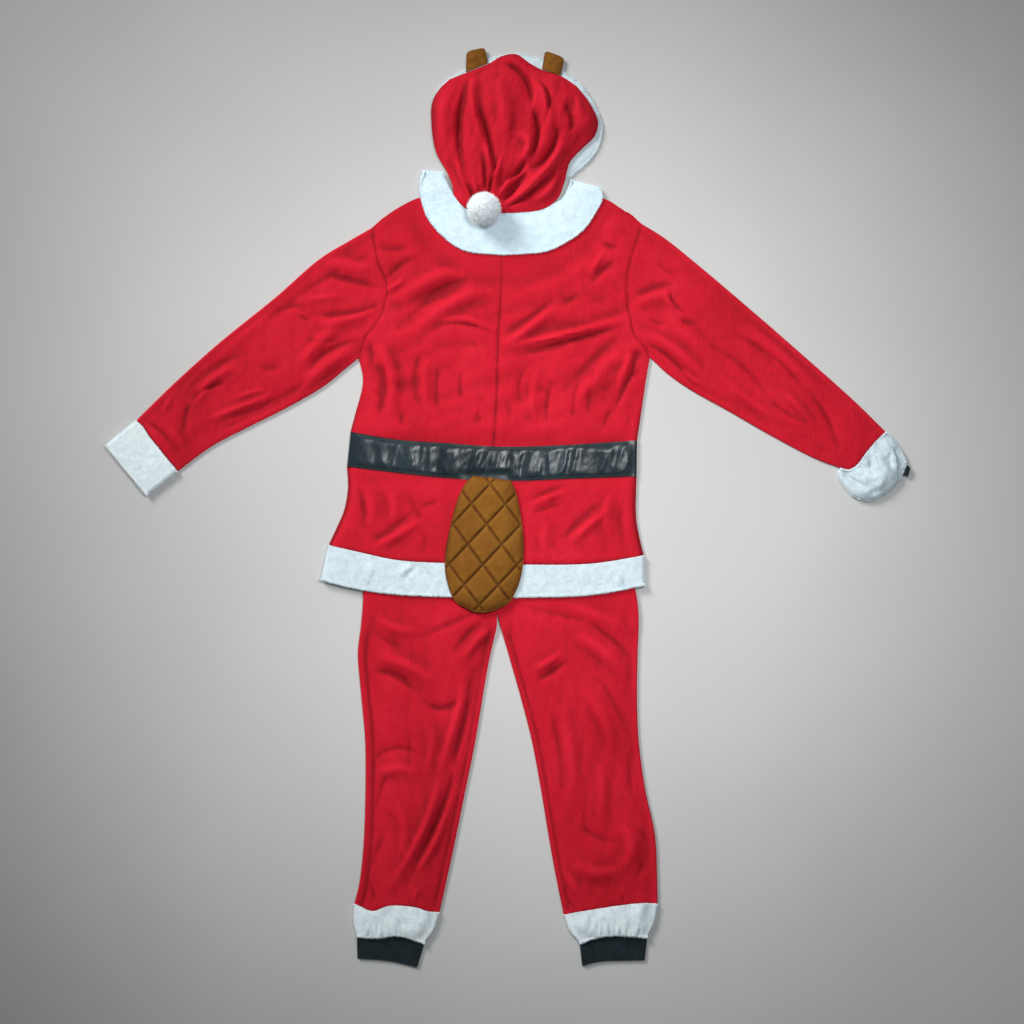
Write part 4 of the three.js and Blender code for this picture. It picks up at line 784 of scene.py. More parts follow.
# ---- bodice ------------------------------------------------------------------------------------
# steps along the waist, an armhole, the side below it and a shoulder
WAIST = 124
HALF = WAIST // 2
ARMHOLE = 57
SIDE = 33
SHOULDER = 37
BACK_CREST = 1.9
BACK_CREASE = 1.15
BACK_RUMPLE = [(2.3, 24, 70, 26, 3.1), (0.8, -35, 26, 10, 7.7)]
BELT_CLIMB = (150, 62)    # between these y the back climbs to the belt's height
BELT_FREES = (28, 72)     # and between these it comes free of the belt and folds
# how much painted shade darkens the cloth along each kind of seam
CENTRE_SHADE = 0.8
ARMHOLE_SHADE = 0.35
CUFF_SHADE = 0.9
PEPLUM_SHADE = 1.0
LEG_SHADE = 0.45
belt_upper = line(BELT_UPPER, WAIST)
belt_lower = line(BELT_LOWER, WAIST)
hem_upper = line(HEM_UPPER, WAIST)
hem_lower = line(HEM_LOWER, WAIST)
armholes = {"left": line(ARMHOLE_LEFT, ARMHOLE), "right": line(ARMHOLE_RIGHT, ARMHOLE)}
necks = {"left": line(NECK_LEFT, HALF - SHOULDER), "right": line(NECK_RIGHT, HALF - SHOULDER)[::-1]}
waists = {"left": belt_upper[:HALF + 1], "right": belt_upper[HALF:][::-1]}
sides = {"left": line(SIDE_LEFT, SIDE), "right": line(SIDE_RIGHT, SIDE)}
shoulders = {"left": line(SHOULDER_LEFT, SHOULDER), "right": line(SHOULDER_RIGHT, SHOULDER)}
centre_back = line([tuple(belt_upper[HALF])] + CENTRE_BACK[1:], SIDE + ARMHOLE)
back_seams = [armholes["left"], armholes["right"], centre_back]


def seam_dip(x, y, seams, depth=SEAM_DIP, wide=SEAM_WIDE):
    dip = np.zeros_like(x)
    for seam in seams:
        dip = np.maximum(dip, depth * np.exp(-(to_line(x, y, seam[::3]) / wide) ** 2))
    return dip


def back_top(x, y, free):
    from_nape = np.hypot(x - NAPE[0], y - NAPE[1])
    shown = ease(NAPE_COLLAR, NAPE_CLEAR, from_nape)
    from_edge = np.minimum(to_line(x, y, free[0][::2]), to_line(x, y, free[1][::2]))
    loft = LOFT * ease(0, LOFT_REACH, from_edge)
    rough = rumples(x, y, BACK_RUMPLE)
    raised = relief(BACK_FOLDS, x, y, BACK_CREST, BACK_CREASE)
    folds = (loft + raised + rough) * shown * ease(0, EDGE_ROLL * 2, from_edge)
    flat = mix(BACK_TOP, BELT_TOP, ease(*BELT_CLIMB, y))
    body = np.maximum(EDGE_TOP, flat + folds * ease(*BELT_FREES, y) - seam_dip(x, y, back_seams) * shown)
    edge = mix(BACK_TOP, EDGE_TOP, ease(NAPE_COLLAR + 15, NAPE_CLEAR + 10, from_nape))
    return mix(edge, body, np.sqrt(ease(0, EDGE_ROLL, from_edge)))


for side in ("left", "right"):
    side_line = joined(sides[side], armholes[side])
    upper = joined(shoulders[side], necks[side])
    rows = trimmed(grid(waists[side], upper, side_line, centre_back), "start", "end", "left", "right")
    # only the side below the armhole and the shoulder are free to roll down on to the front
    free = (sides[side], shoulders[side])
    outer, inner = panel(rows, VELOUR, lambda x, y: back_top(x, y, free))
    wall(f"back_{side}", outer, inner, False, RED, [f"bodice_back_{side}"],
         [(centre_back[::3], CENTRE_SHADE), (armholes[side][::3], ARMHOLE_SHADE)])
    cut[f"back_{side}"] = cut_area(rows)


# ---- front: flat on the surface, with a closed zip ---------------------------------------------
def toward(start, end, distance):
    """The point at a distance from start, on the way to end."""
    start, end = np.asarray(start, float), np.asarray(end, float)
    return start + (end - start) * distance / np.linalg.norm(end - start)


COLLAR_HALF = 48
split = COLLAR_OUTER.index(CENTRE_TOP)
collar_outer = joined(line(COLLAR_OUTER[:split + 1], COLLAR_HALF), line(COLLAR_OUTER[split:], COLLAR_HALF))
collar_inner = line(COLLAR_INNER, 2 * COLLAR_HALF)
FRONT_STEPS = 60
COLLAR_PAST = 12          # steps of the collar's outer line that lie past the shoulder
ZIP_CORNER = 6            # steps of it that the corner at the zip takes up
SHOULDER_KEPT = 8         # step at which the front's edge leaves the shoulder for the collar
zip_lines = {}
for side, step in (("left", -1), ("right", 1)):
    # the front's neck is cut to the collar's outer line
    if side == "left":
        part = collar_outer[COLLAR_PAST:COLLAR_HALF + 1]
    else:
        part = collar_outer[COLLAR_HALF:-COLLAR_PAST][::-1]
    meets = part[0]
    zip_top = toward(CENTRE_TOP, part[-ZIP_CORNER], ZIP_HALF)
    waist = waists[side].copy()
    waist[-1] = toward(waist[-1], waist[-2], ZIP_HALF)
    waist[-3:] = straight(waist[-3], waist[-1], 2)
    to_collar = line(np.vstack([shoulders[side][0], shoulders[side][SHOULDER_KEPT], meets]), 20)
    shoulder_line = resampled(np.vstack([to_collar, part[1:-ZIP_CORNER], zip_top[None]]), HALF)
    down = [(x + step * ZIP_HALF, y) for x, y in CENTRE_BACK[1:-1]]
    zip_line = line([tuple(waist[-1])] + down + [tuple(zip_top)], FRONT_STEPS)
    zip_lines[side] = zip_line
    side_line = resampled(joined(sides[side], armholes[side]), FRONT_STEPS)
    rows = trimmed(grid(waist, shoulder_line, side_line, zip_line), "start", "end", "left", "right")
    outer, inner = panel(rows, VELOUR, level(VELOUR))
    wall(f"front_{side}", outer, inner, False, RED, [f"bodice_front_{side}"])
    cut[f"front_{side}"] = cut_area(rows)
zip_rows = between(zip_lines["left"], zip_lines["right"], columns(7))
zip_rows = trimmed(zip_rows, "start", "end", "left", "right")
outer, inner = panel(zip_rows, VELOUR, level(VELOUR))
wall("zip_strip", outer, inner, False, RED, ["front_zip"])
cut["zip_strip"] = cut_area(zip_rows)


# ---- sleeves and cuffs -------------------------------------------------------------------------
LIMB_RIM = 1.2            # how far a limb's edge stands above BACK_TOP


def limb_top(folds, angle, seams, seed):
    """The upper surface of a sleeve or a leg, whose wrinkles run along the angle."""
    def top(x, y, from_edge):
        rough = rumples(x, y, [(1.2, angle, 70, 20, seed), (0.5, angle + 40, 25, 9, seed + 4)])
        height = BACK_TOP + LOFT * ease(0, LOFT_REACH, from_edge)
        height = height + (relief(folds, x, y) + rough) * ease(0, EDGE_ROLL * 2, from_edge)
        height = np.maximum(EDGE_TOP, height - seam_dip(x, y, seams))
        return mix(BACK_TOP + LIMB_RIM, height, ease(0, EDGE_ROLL, from_edge))
    return top


on_surface = level(0.0)
cuff_seams = {"left": line(CUFF_SEAM_LEFT, ARMHOLE), "right": line(CUFF_SEAM_RIGHT, ARMHOLE)}
SLEEVE_STEPS = 110
for side, table, angle, seed in (("left", SLEEVE_LEFT, 42, 11.0), ("right", SLEEVE_RIGHT, -42, 23.0)):
    table = np.array(table, float)
    upper_edge = line(table[:, :2], SLEEVE_STEPS)
    lower_edge = line(table[:, 2:], SLEEVE_STEPS)
    rows = trimmed(grid(armholes[side], cuff_seams[side], lower_edge, upper_edge), "start", "end")
    top = limb_top(SLEEVE_FOLDS, angle, [armholes[side], cuff_seams[side]], seed)
    outer, inner = folded(rows, VELOUR, False, on_surface, top)
    wall(f"arm_{side}", outer, inner, False, RED, [f"sleeve_{side}"],
         [(armholes[side][::3], ARMHOLE_SHADE), (cuff_seams[side][::3], CUFF_SHADE)])
    cut[f"arm_{side}"] = 2 * cut_area(rows)

CUFF_HEIGHT = 13
cuff_end = line(CUFF_END_LEFT, ARMHOLE)
CUFF_STEPS = 17
cuff_rows = strip(cuff_seams["left"], cuff_end, CUFF_STEPS)
CUFF_LUMPS = [(0.9, -50, 26, 14, 5.0), (0.5, 30, 9, 8, 9.0)]


def cuff_top(x, y, from_edge):
    return CUFF_HEIGHT + (1.5 + rumples(x, y, CUFF_LUMPS)) * ease(0, 25, from_edge)


cuff_outer, cuff_inner = folded(trimmed(cuff_rows, "start"), FLEECE, True, on_surface, cuff_top)
wall("cuff_band_left", cuff_outer, cuff_inner, True, FLEECE_PAINTED_BRIGHTER, ["cuff_left"])
cut["cuff_band_left"] = 2 * cut_area(cuff_rows)
RIB_AIR = 0.8             # between the two layers of the rib
rib_rows = cuff_rows[5:13, 6:-6]
outer, inner = folded(rib_rows, RIB_WALL, True, level(FLEECE + GAP),
                      level(FLEECE + GAP + 2 * RIB_WALL + RIB_AIR))
wall("rib_in_cuff_left", outer, inner, True, RIB, ["cuff_left_rib"])
cut["rib_in_cuff_left"] = 2 * cut_area(rib_rows)

# the right cuff, crumpled over itself: a rounded lump with deep creases between its folds
lump_end = line(LUMP_END, ARMHOLE)
LUMP_STEPS = 24
lump_sides = [line(LUMP_LEFT, LUMP_STEPS), line(LUMP_RIGHT, LUMP_STEPS)]
lump_rows = trimmed(grid(cuff_seams["right"], lump_end, *lump_sides), "start")
LUMP_FOLDS = [
    (668, -20, 694, -38, 728, -56, 5, -7), (724, -57, 732, -62, 742, -68, 5, -3),
    (733, 14, 728, -12, 736, -32, 9, -8), (748, 0, 751, -31, 736, -58, 9, 5),
    (676, -48, 700, -62, 724, -70, 6, 3.5), (752, 36, 744, 12, 752, -8, 9, 3),
    (700, -12, 712, -30, 724, -42, 8, 3), (770, 30, 764, 8, 768, -20, 6, -3),
    (690, -24, 704, -30, 716, -20, 5, -2.5)]
LUMP_RIM = 5.0
LUMP_NEAR = 11.0          # height at the seam, and from 34 mm away from it
LUMP_FAR = 18.0
LUMP_CREST = 0.8
LUMP_CREASE = 1.1
LUMP_CRUMPLE = 1.1        # cloth hidden in the creases, as a factor
# beyond this line of (x, y) the far layer of the cuff lies lower
LUMP_LEDGE = [(772, 24), (777, 5), (779, -12), (780, -34)]


def lump_top(x, y):
    free_edge = joined(lump_rows[:, 0], lump_rows[-1], lump_rows[:, -1][::-1])
    from_edge = to_line(x, y, free_edge[::2])
    round_off = 0.45 * np.sqrt(ease(0, 5, from_edge)) + 0.55 * ease(0, 24, from_edge)
    from_seam = to_line(x, y, lump_rows[0][::3])
    body = mix(LUMP_NEAR, LUMP_FAR, ease(0, 34, from_seam))
    # sharp ridges between flat facets
    facets = 3.8 * ridges(x, y, -42, 60, 30, 2.6, 2.2, 0.5) + ridges(x, y, 25, 26, 17, 6.0, 2.2, 0.5)
    body = body + (relief(LUMP_FOLDS, x, y, LUMP_CREST, LUMP_CREASE) + facets) * ease(0, 16, from_edge)
    ledge_x = np.interp(-y, [-ledge[1] for ledge in LUMP_LEDGE], [ledge[0] for ledge in LUMP_LEDGE])
    beyond = ease(-1.5, 2.5, x - ledge_x) * ease(30, 22, y)
    body = body - (6 + 2.5 * rumple(x, y, 90, 9, 7, 12.0)) * beyond
    return mix(LUMP_RIM, body, round_off)


lump_z = lump_top(lump_rows[..., 0], lump_rows[..., 1])
lump_outer = with_z(lump_rows, lump_z)
wall("cuff_lump_right", lump_outer, with_z(lump_rows, 0.0), False, WHITE, ["cuff_right"])
cut["cuff_lump_right"] = LUMP_CRUMPLE * cut_area(lump_rows)


# ---- belt, peplum and hem band -----------------------------------------------------------------
TAIL_X = -24              # the tail's middle


def off_tail(x, start=58, stop=74):
    """0 under the tail and 1 clear of it."""
    return ease(start, stop, np.abs(x - TAIL_X))


BELT_LIFT = 2.4           # how far the belt's middle stands above its seams


def belt_crinkle(x, y):
    """Stiff folds that run across the belt, with a few sharp ridges."""
    broad = rumple(x, y, 84, 95, 26, 41.0)
    ridge = ridges(x, y, 76, 70, 21, 47.0)
    cross = ridges(x, y, 35, 36, 17, 53.0)
    small = rumple(x, y, 100, 26, 9, 51.0)
    return 2.8 * broad + 1.5 * ridge + 0.5 * cross + 0.3 * small


BELT_STEPS = 20
belt_rows = trimmed(strip(belt_upper, belt_lower, BELT_STEPS), "start", "end")
fine_belt = np.stack([resampled(row, 2 * WAIST) for row in belt_rows])
belt_edges = [belt_rows[0], belt_rows[-1]]


def belt_top(x, y, from_edge):
    from_seam = np.minimum(to_line(x, y, belt_edges[0][::4]), to_line(x, y, belt_edges[1][::4]))
    lift = BELT_LIFT * ease(0, 9, from_seam) + belt_crinkle(x, y) * ease(2, 18, from_seam)
    under_tail = 1 - (1 - off_tail(x, 44, 58)) * ease(-14, -27, y)
    return BELT_TOP + np.maximum(lift, -0.2) * ease(0, 20, from_edge) * under_tail


outer, inner = folded(fine_belt, BELT_WALL, True, on_surface, belt_top, lower_step=6)
wall("belt_band", outer, inner, True, BLACK, ["belt"])
cut["belt_band"] = 2 * cut_area(belt_rows)


def on_peplum(y):
    """Height of the skirt and hem under the tail."""
    return mix(PEPLUM_TOP, HEM_TOP, np.clip((-30 - y) / 165, 0, 1))


PEPLUM_STEPS = 36
PEPLUM_LIFT = 2.2
PEPLUM_RUMPLE = [(1.0, -60, 50, 18, 61.0), (0.4, 30, 22, 9, 67.0)]
peplum_left = line(PEPLUM_LEFT, PEPLUM_STEPS)
peplum_right = line(PEPLUM_RIGHT, PEPLUM_STEPS)
peplum_rows = trimmed(grid(belt_lower, hem_upper, peplum_left, peplum_right), "start", "end")


def peplum_top(x, y):
    from_edge = np.minimum(to_line(x, y, peplum_left[::2]), to_line(x, y, peplum_right[::2]))
    loose = PEPLUM_LIFT + relief(PEPLUM_FOLDS, x, y) + rumples(x, y, PEPLUM_RUMPLE)
    lift = np.maximum(0.0, loose) * ease(0, 24, from_edge)
    held = ease(-30, -58, y) * ease(-205, -188, y)
    dip = seam_dip(x, y, [hem_upper, belt_lower], 1.2, 3.0)
    under = off_tail(x, 62, 92)
    return mix(EDGE_TOP, on_peplum(y) + lift * held * under - dip * under, ease(0, EDGE_ROLL, from_edge))


outer, inner = panel(peplum_rows, VELOUR, peplum_top)
wall("skirt_back", outer, inner, False, RED, ["peplum_back"],
     [(hem_upper[::4], PEPLUM_SHADE), (belt_lower[::4], PEPLUM_SHADE)])
outer, inner = panel(peplum_rows, VELOUR, level(VELOUR))
wall("skirt_front", outer, inner, False, RED, ["peplum_front"])
cut["skirt_back"] = cut["skirt_front"] = cut_area(peplum_rows)

HEM_STEPS = 17
HEM_LIFT = 1.6
HEM_LUMPS = [(0.8, 70, 22, 12, 71.0), (0.4, 10, 8, 8, 73.0)]
hem_rows = trimmed(strip(hem_upper, hem_lower, HEM_STEPS), "start")


def hem_top(x, y, from_edge):
    lift = np.maximum(0.0, HEM_LIFT + relief(PEPLUM_FOLDS, x, y) + rumples(x, y, HEM_LUMPS))
    return HEM_TOP + lift * off_tail(x, 62, 82) * ease(0, 22, from_edge)


hem_outer, hem_inner = folded(hem_rows, FLEECE, True, on_surface, hem_top)
wall("hem_fleece", hem_outer, hem_inner, True, WHITE, ["hem_band"])
cut["hem_fleece"] = 2 * cut_area(hem_rows)


# ---- legs, ankle bands and ribs ----------------------------------------------------------------
def leg_base(x, y):
    """Height of a leg's underside: on the skirt and the hem band's lower layer, then on the floor."""
    inside = mix(LEG_IN_HEM, LEG_IN_PEPLUM, ease(-190, -140, y))
    return inside * ease(-362, -314, y)


LEG_STEPS = 210
LEG_ACROSS = 58
LEG_LOFT = 1.5            # a leg's loft beyond that of a sleeve
INSEAM_IN = 11            # how far the two seams lie in from the leg's edges
SIDE_SEAM_IN = 15
INSEAM_FROM = -330        # the seams show below these y
SIDE_SEAM_FROM = -300
LEG_OUT = (-266, -320)    # between these y a leg comes out from under the hem
BAND_BULGE = 4
BAND_SAG = -4
BAND_STEPS = 15
BAND_TOP = 9.0
BAND_SWELL = 5.6
BAND_GATHER = 1.15        # cloth taken up by the gathers, as a factor
RIB_STEPS = 10
RIB_TOP = 5.4
bands = {}
for side, table, seam, band, rib, sign, seed in (
        ("left", LEG_LEFT, ANKLE_SEAM_LEFT, BAND_END_LEFT, RIB_END_LEFT, -1, 83.0),
        ("right", LEG_RIGHT, ANKLE_SEAM_RIGHT, BAND_END_RIGHT, RIB_END_RIGHT, 1, 97.0)):
    table = np.array(table, float)
    outer_edge = line(table[:, :2], LEG_STEPS)
    inner_edge = line(table[:, 2:], LEG_STEPS)
    inner_edge[:, 0] = sign * np.maximum(0, sign * inner_edge[:, 0])
    seam_line = line(seam, LEG_ACROSS)
    waist = straight(outer_edge[0], inner_edge[0], LEG_ACROSS)
    rows = trimmed(grid(waist[::-1], seam_line[::-1], inner_edge, outer_edge), "end", "left")
    # the inseam and the side seam show as lines a little inside the two edges
    inseam = pulled(inner_edge, outer_edge, INSEAM_IN)
    side_seam = pulled(outer_edge, inner_edge, SIDE_SEAM_IN)
    lines = [seam_line, inseam[inseam[:, 1] < INSEAM_FROM]]
    if side == "left":
        lines.append(side_seam[side_seam[:, 1] < SIDE_SEAM_FROM])
    shown_top = limb_top(LEG_FOLDS, 90 - 8 * sign, lines, seed)

    def leg_top(x, y, from_edge):
        hidden = leg_base(x, y) + 2 * VELOUR + GAP
        shown = shown_top(x, y, from_edge) + LEG_LOFT * ease(0, 40, from_edge)
        return mix(hidden, np.maximum(hidden, shown), ease(*LEG_OUT, y))
    outer, inner = folded(rows, VELOUR, False, leg_base, leg_top)
    wall(f"trouser_{side}", outer, inner, False, RED, [f"leg_{side}"],
         [(part[::5], LEG_SHADE) for part in lines])
    cut[f"trouser_{side}"] = 2 * cut_area(rows)

    band_end = line(band, LEG_ACROSS)
    band_sides = []
    for start, end, out in ((seam_line[0], band_end[0], sign), (seam_line[-1], band_end[-1], -sign)):
        middle = (start + end) / 2 + (out * BAND_BULGE, BAND_SAG)
        band_sides.append(line([start, middle, end], BAND_STEPS))
    band_rows = trimmed(grid(seam_line, band_end, *band_sides), "start", "end")

    def band_top(x, y, from_edge):
        swell = ease(0, 26, from_edge) * ease(-945, -908, y)
        gathers = 3.2 * rumple(x, y, 90, 40, 7, seed + 1) * ease(-888, -922, y)
        lumps = 1.8 * rumple(x, y, 70, 30, 19, seed + 2)
        return BAND_TOP + BAND_SWELL * swell + (gathers + lumps) * ease(3, 16, from_edge)
    outer, inner = folded(band_rows, FLEECE, True, on_surface, band_top)
    bands[side] = (outer, seam_line, band_end)
    wall(f"ankle_fleece_{side}", outer, inner, True, FLEECE_PAINTED_BRIGHTER, [f"ankle_band_{side}"])
    cut[f"ankle_fleece_{side}"] = BAND_GATHER * 2 * cut_area(band_rows)

    rib_end = line(rib, LEG_ACROSS)
    fine_start = resampled(band_end, 2 * LEG_ACROSS)
    fine_end = resampled(rib_end, 2 * LEG_ACROSS)
    rib_rows = trimmed(strip(fine_start, fine_end, RIB_STEPS), "start")

    def rib_top(x, y, from_edge):
        return RIB_TOP + 0.25 * rumple(x, y, 90, 60, 6, seed + 3) * ease(0, 8, from_edge)
    outer, inner = folded(rib_rows, RIB_WALL, True, on_surface, rib_top, lower_step=4)
    wall(f"ankle_knit_{side}", outer, inner, True, RIB, [f"ankle_rib_{side}"])
    cut[f"ankle_knit_{side}"] = 2 * cut_area(rib_rows)


# ---- collar ------------------------------------------------------------------------------------
def collar_bottom(x, y):
    return mix(COLLAR_LIFT, FLEECE + GAP, ease(524, 552, y))


def collar_top(x, y):
    steps_along, steps_across = x.shape
    across = np.linspace(0, 1, steps_across)[None, :]
    along = np.arange(steps_along)[:, None]
    ends = np.sqrt(np.clip((np.minimum(along, steps_along - 1 - along) + 0.8) / 8, 0, 1))
    roll = np.sin(np.pi * (across * 0.86 + 0.09)) ** 0.7 * ends
    lumps = 0.8 * rumple(x, y, 0, 13, 13, 101.0) * roll
    return collar_bottom(x, y) + 2 + (COLLAR_THICK - 2) * roll + lumps


collar_rows = trimmed(between(collar_outer, collar_inner, columns(15)), "left", "right")
x, y = collar_rows[..., 0], collar_rows[..., 1]
collar_outer_face = with_z(collar_rows, collar_top(x, y))
wall("collar_roll", collar_outer_face, with_z(collar_rows, collar_bottom(x, y)), False, COLLAR_WHITE,
     ["collar_back"])
front_rows = trimmed(collar_rows[:, ::2], "left")
wall("collar_under", with_z(front_rows, FLEECE), with_z(front_rows, 0.0), False, WHITE,
     ["collar_front"])
cut["collar_roll"] = cut["collar_under"] = cut_area(collar_rows)

# ---- hood --------------------------------------------------------------------------------------
BRIM_STEPS = 150
brim_outer = line(BRIM_OUTER + BRIM_OUTER[:1], BRIM_STEPS)[:-1]
hole_x, hole_y, half_wide, half_tall = FACE_HOLE
angle = np.arctan2(brim_outer[:, 1] - hole_y, brim_outer[:, 0] - hole_x)
hole = np.stack([hole_x + half_wide * np.cos(angle), hole_y + half_tall * np.sin(angle)], axis=1)
# the ring's lines lie closer together towards its rounded outer edge
shares = np.array([0, 0.15, 0.3, 0.45, 0.6, 0.72, 0.82, 0.9, 0.96, 1.0])
ring = between(hole, brim_outer, shares[None, :, None])
ring_z = BRIM_THICK * np.sqrt(np.clip((1.02 - shares) / 0.14, 0.12, 1))[None, :] * np.ones((BRIM_STEPS, 1))
brim_face = with_z(ring, ring_z)
ring_points = brim_face.transpose(1, 0, 2)
cut["brim_fleece"] = loop_area(brim_outer) - loop_area(hole)
wall("brim_fleece", ring_points, with_z(ring, 0.0).transpose(1, 0, 2), True, WHITE,
     ["hood_brim"])

CROWN_ALONG = 96
CROWN_ACROSS = 96
CROWN_CREST = 1.3
CROWN_CREASE = 1.45
CROWN_RUMPLE = [(2.2, 80, 60, 16, 111.0), (0.9, 70, 22, 7, 113.0)]
CROWN_GATHER = 1.35       # cloth taken up by the gathers, as a factor
POMPOM_ROOM = 1.07        # the hollow round the pompom, as a share of its reach
neck_line = joined(line(NECK_LEFT, CROWN_ACROSS // 2), line(NECK_RIGHT, CROWN_ACROSS // 2))
crown_rows = grid(neck_line, line(CROWN_UPPER, CROWN_ACROSS), line(CROWN_LEFT, CROWN_ALONG),
                  line(CROWN_RIGHT, CROWN_ALONG))
crown_edge = rim(crown_rows)


def crown_top(x, y):
    from_edge = to_line(x, y, crown_edge[::3])
    dome = np.sqrt(ease(0, 90, from_edge)) * mix(0.55, 1.0, ease(500, 600, y))
    raised = relief(CROWN_FOLDS, x, y, CROWN_CREST, CROWN_CREASE)
    folds = (raised + rumples(x, y, CROWN_RUMPLE)) * ease(0, 22, from_edge)
    height = CROWN_BASE + CROWN_RIM + np.maximum(-2, CROWN_RISE * dome + folds)
    # hollowed round the pompom that sits on it
    px, py, pz = POMPOM
    room = POMPOM_REACH * POMPOM_ROOM
    across = np.hypot(x - px, y - py)
    under = pz - POMPOM_FLAT * np.sqrt(np.maximum(room ** 2 - across ** 2, 0.0))
    return np.where(across < room, np.maximum(CROWN_BASE + 0.6, np.minimum(height, under)), height)


crown_trimmed = trimmed(crown_rows, "start", "left", "right")
crown_z = crown_top(crown_trimmed[..., 0], crown_trimmed[..., 1])
from_rim = to_line(crown_trimmed[..., 0], crown_trimmed[..., 1], crown_edge[::3])
crown_under = np.maximum(CROWN_BASE, mix(CROWN_BASE, crown_z - VELOUR, ease(0, 14, from_rim)))
wall("crown_gathered", with_z(crown_trimmed, crown_z), with_z(crown_trimmed, crown_under), False, RED,
     ["hat_crown"])
cut["crown_gathered"] = CROWN_GATHER * cut_area(crown_rows)


EAR_ROWS = 22
EAR_ACROSS = 17
TIP_ROUND = 0.16
TIP_FROM = 0.82
EAR_RIM = 2.2
EAR_PUFF = 4.4
for name, base_a, base_b, tip_a, tip_b in EARS:
    left = straight(base_a, tip_a, EAR_ROWS)
    right = straight(base_b, tip_b, EAR_ROWS)
    along = np.arange(EAR_ROWS + 1)[:, None] / EAR_ROWS
    across = np.linspace(0, 1, EAR_ACROSS)[None, :]
    # the corners at the tip are rounded off
    corner = TIP_ROUND * np.clip((along - TIP_FROM) / (1 - TIP_FROM), 0, 1) ** 3
    share = (corner + across * (1 - 2 * corner))[..., None]
    rows = between(left, right, share)
    puff = np.sin(np.pi * across) ** 0.7 * np.sqrt(np.clip((1.08 - along) / 0.4, 0, 1))
    x, y = rows[..., 0], rows[..., 1]
    lumps = 2.2 * rumple(x, y, 20, 20, 11, 131.0) - 2.4 * np.abs(rumple(x, y, -35, 24, 10, 137.0))
    z = CROWN_BASE + EAR_RIM + (EAR_PUFF + lumps) * puff
    wall(name.replace("ear_", "tab_"), with_z(rows, z), with_z(rows, CROWN_BASE), False, BROWN,
         [name])


# ---- tail: a pillow quilted in diamonds --------------------------------------------------------
TAIL_ALONG = 130
TAIL_ACROSS = 78
tail_rows = grid(line(TAIL_TOP, TAIL_ACROSS), line(TAIL_TIP, TAIL_ACROSS), line(TAIL_LEFT, TAIL_ALONG),
                 line(TAIL_RIGHT, TAIL_ALONG))
tail_edge = rim(tail_rows)
GROOVE = 3.4              # depth and half width of the furrow along a line of stitching
GROOVE_WIDE = 2.3
PUFF = 2.6                # how far the middle of a diamond swells
PILLOW_RIM = 5
PILLOW_RISE = 11
TAIL_RUMPLE = [(0.9, 0, 24, 20, 121.0), (0.5, 45, 9, 9, 123.0)]


def tail_bottom(x, y):
    return on_peplum(y) + GAP + 0.3


def quilt_cells(x, y):
    """How far along the two lines of stitching a point lies, in cells."""
    dx, dy = x - QUILT_AT[0], y - QUILT_AT[1]
    det = QUILT_A[0] * QUILT_B[1] - QUILT_A[1] * QUILT_B[0]
    return (dx * QUILT_B[1] - dy * QUILT_B[0]) / det, (QUILT_A[0] * dy - QUILT_A[1] * dx) / det


def tail_top(x, y):
    from_edge = to_line(x, y, tail_edge[::3])
    a, b = quilt_cells(x, y)
    # distance to the nearest line of each family
    cross = abs(QUILT_A[0] * QUILT_B[1] - QUILT_A[1] * QUILT_B[0])
    to_a = np.abs(b - np.round(b)) * cross / math.hypot(*QUILT_A)
    to_b = np.abs(a - np.round(a)) * cross / math.hypot(*QUILT_B)
    to_stitch = np.minimum(to_a, to_b)
    puff = PUFF * np.sqrt(np.abs(np.sin(np.pi * a) * np.sin(np.pi * b)))
    groove = GROOVE * np.exp(-(to_stitch / GROOVE_WIDE) ** 2)
    pillow = PILLOW_RIM + PILLOW_RISE * np.sqrt(ease(0, 36, from_edge))
    rough = rumples(x, y, TAIL_RUMPLE)
    swollen = (puff + rough) * ease(0, 10, from_edge)
    return tail_bottom(x, y) + pillow + swollen - groove * ease(-1, 5, from_edge)


tail_z = tail_top(tail_rows[..., 0], tail_rows[..., 1])


STITCH_SUNK = 0.2         # how deep the foot of a stitch lies in the cloth


def dashes(name, runs, top, width, high, pitch, fill, material):
    """Stitches as short raised dashes along lines of (x, y), each lying on the surface top(x, y)."""
    points, faces = [], []
    for run in runs:
        steps = max(1, int(np.linalg.norm(np.diff(run, axis=0), axis=1).sum() / pitch))
        at = resampled(run, steps)
        for a, b in zip(at[:-1], at[1:]):
            b = a + (b - a) * fill
            along = (b - a) / max(np.linalg.norm(b - a), 1e-6)
            side = np.array([-along[1], along[0]]) * width / 2
            base = len(points)
            for end in (a, b):
                z = float(top(np.array([end[0]]), np.array([end[1]]))[0])
                foot = z - STITCH_SUNK
                points += [(*(end - side), foot), (*end, z + high), (*(end + side), foot)]
            faces += [(base, base + 1, base + 4, base + 3), (base + 1, base + 2, base + 5, base + 4),
                      (base + 2, base, base + 3, base + 5), (base, base + 2, base + 1),
                      (base + 3, base + 4, base + 5)]
    return make_object(name, points, faces, material, sharp=0)


STITCH_CLEAR = 1.5        # the stitching stops this far inside the tail's edge


def inside_tail(run):
    """The parts of a line that lie on the tail, a little in from its edge."""
    run = resampled(run, 200)
    polygon = tail_edge
    x0, y0 = polygon[:, 0], polygon[:, 1]
    x1, y1 = np.roll(x0, -1), np.roll(y0, -1)
    crossings = ((y0 > run[:, 1:2]) != (y1 > run[:, 1:2])) & (
        run[:, 0:1] < (x1 - x0) * (run[:, 1:2] - y0) / np.where(y1 == y0, 1e-9, y1 - y0) + x0)
    keep = (crossings.sum(axis=1) % 2 == 1) & (to_line(run[:, 0], run[:, 1], polygon[::3]) > STITCH_CLEAR)
    return run[keep]


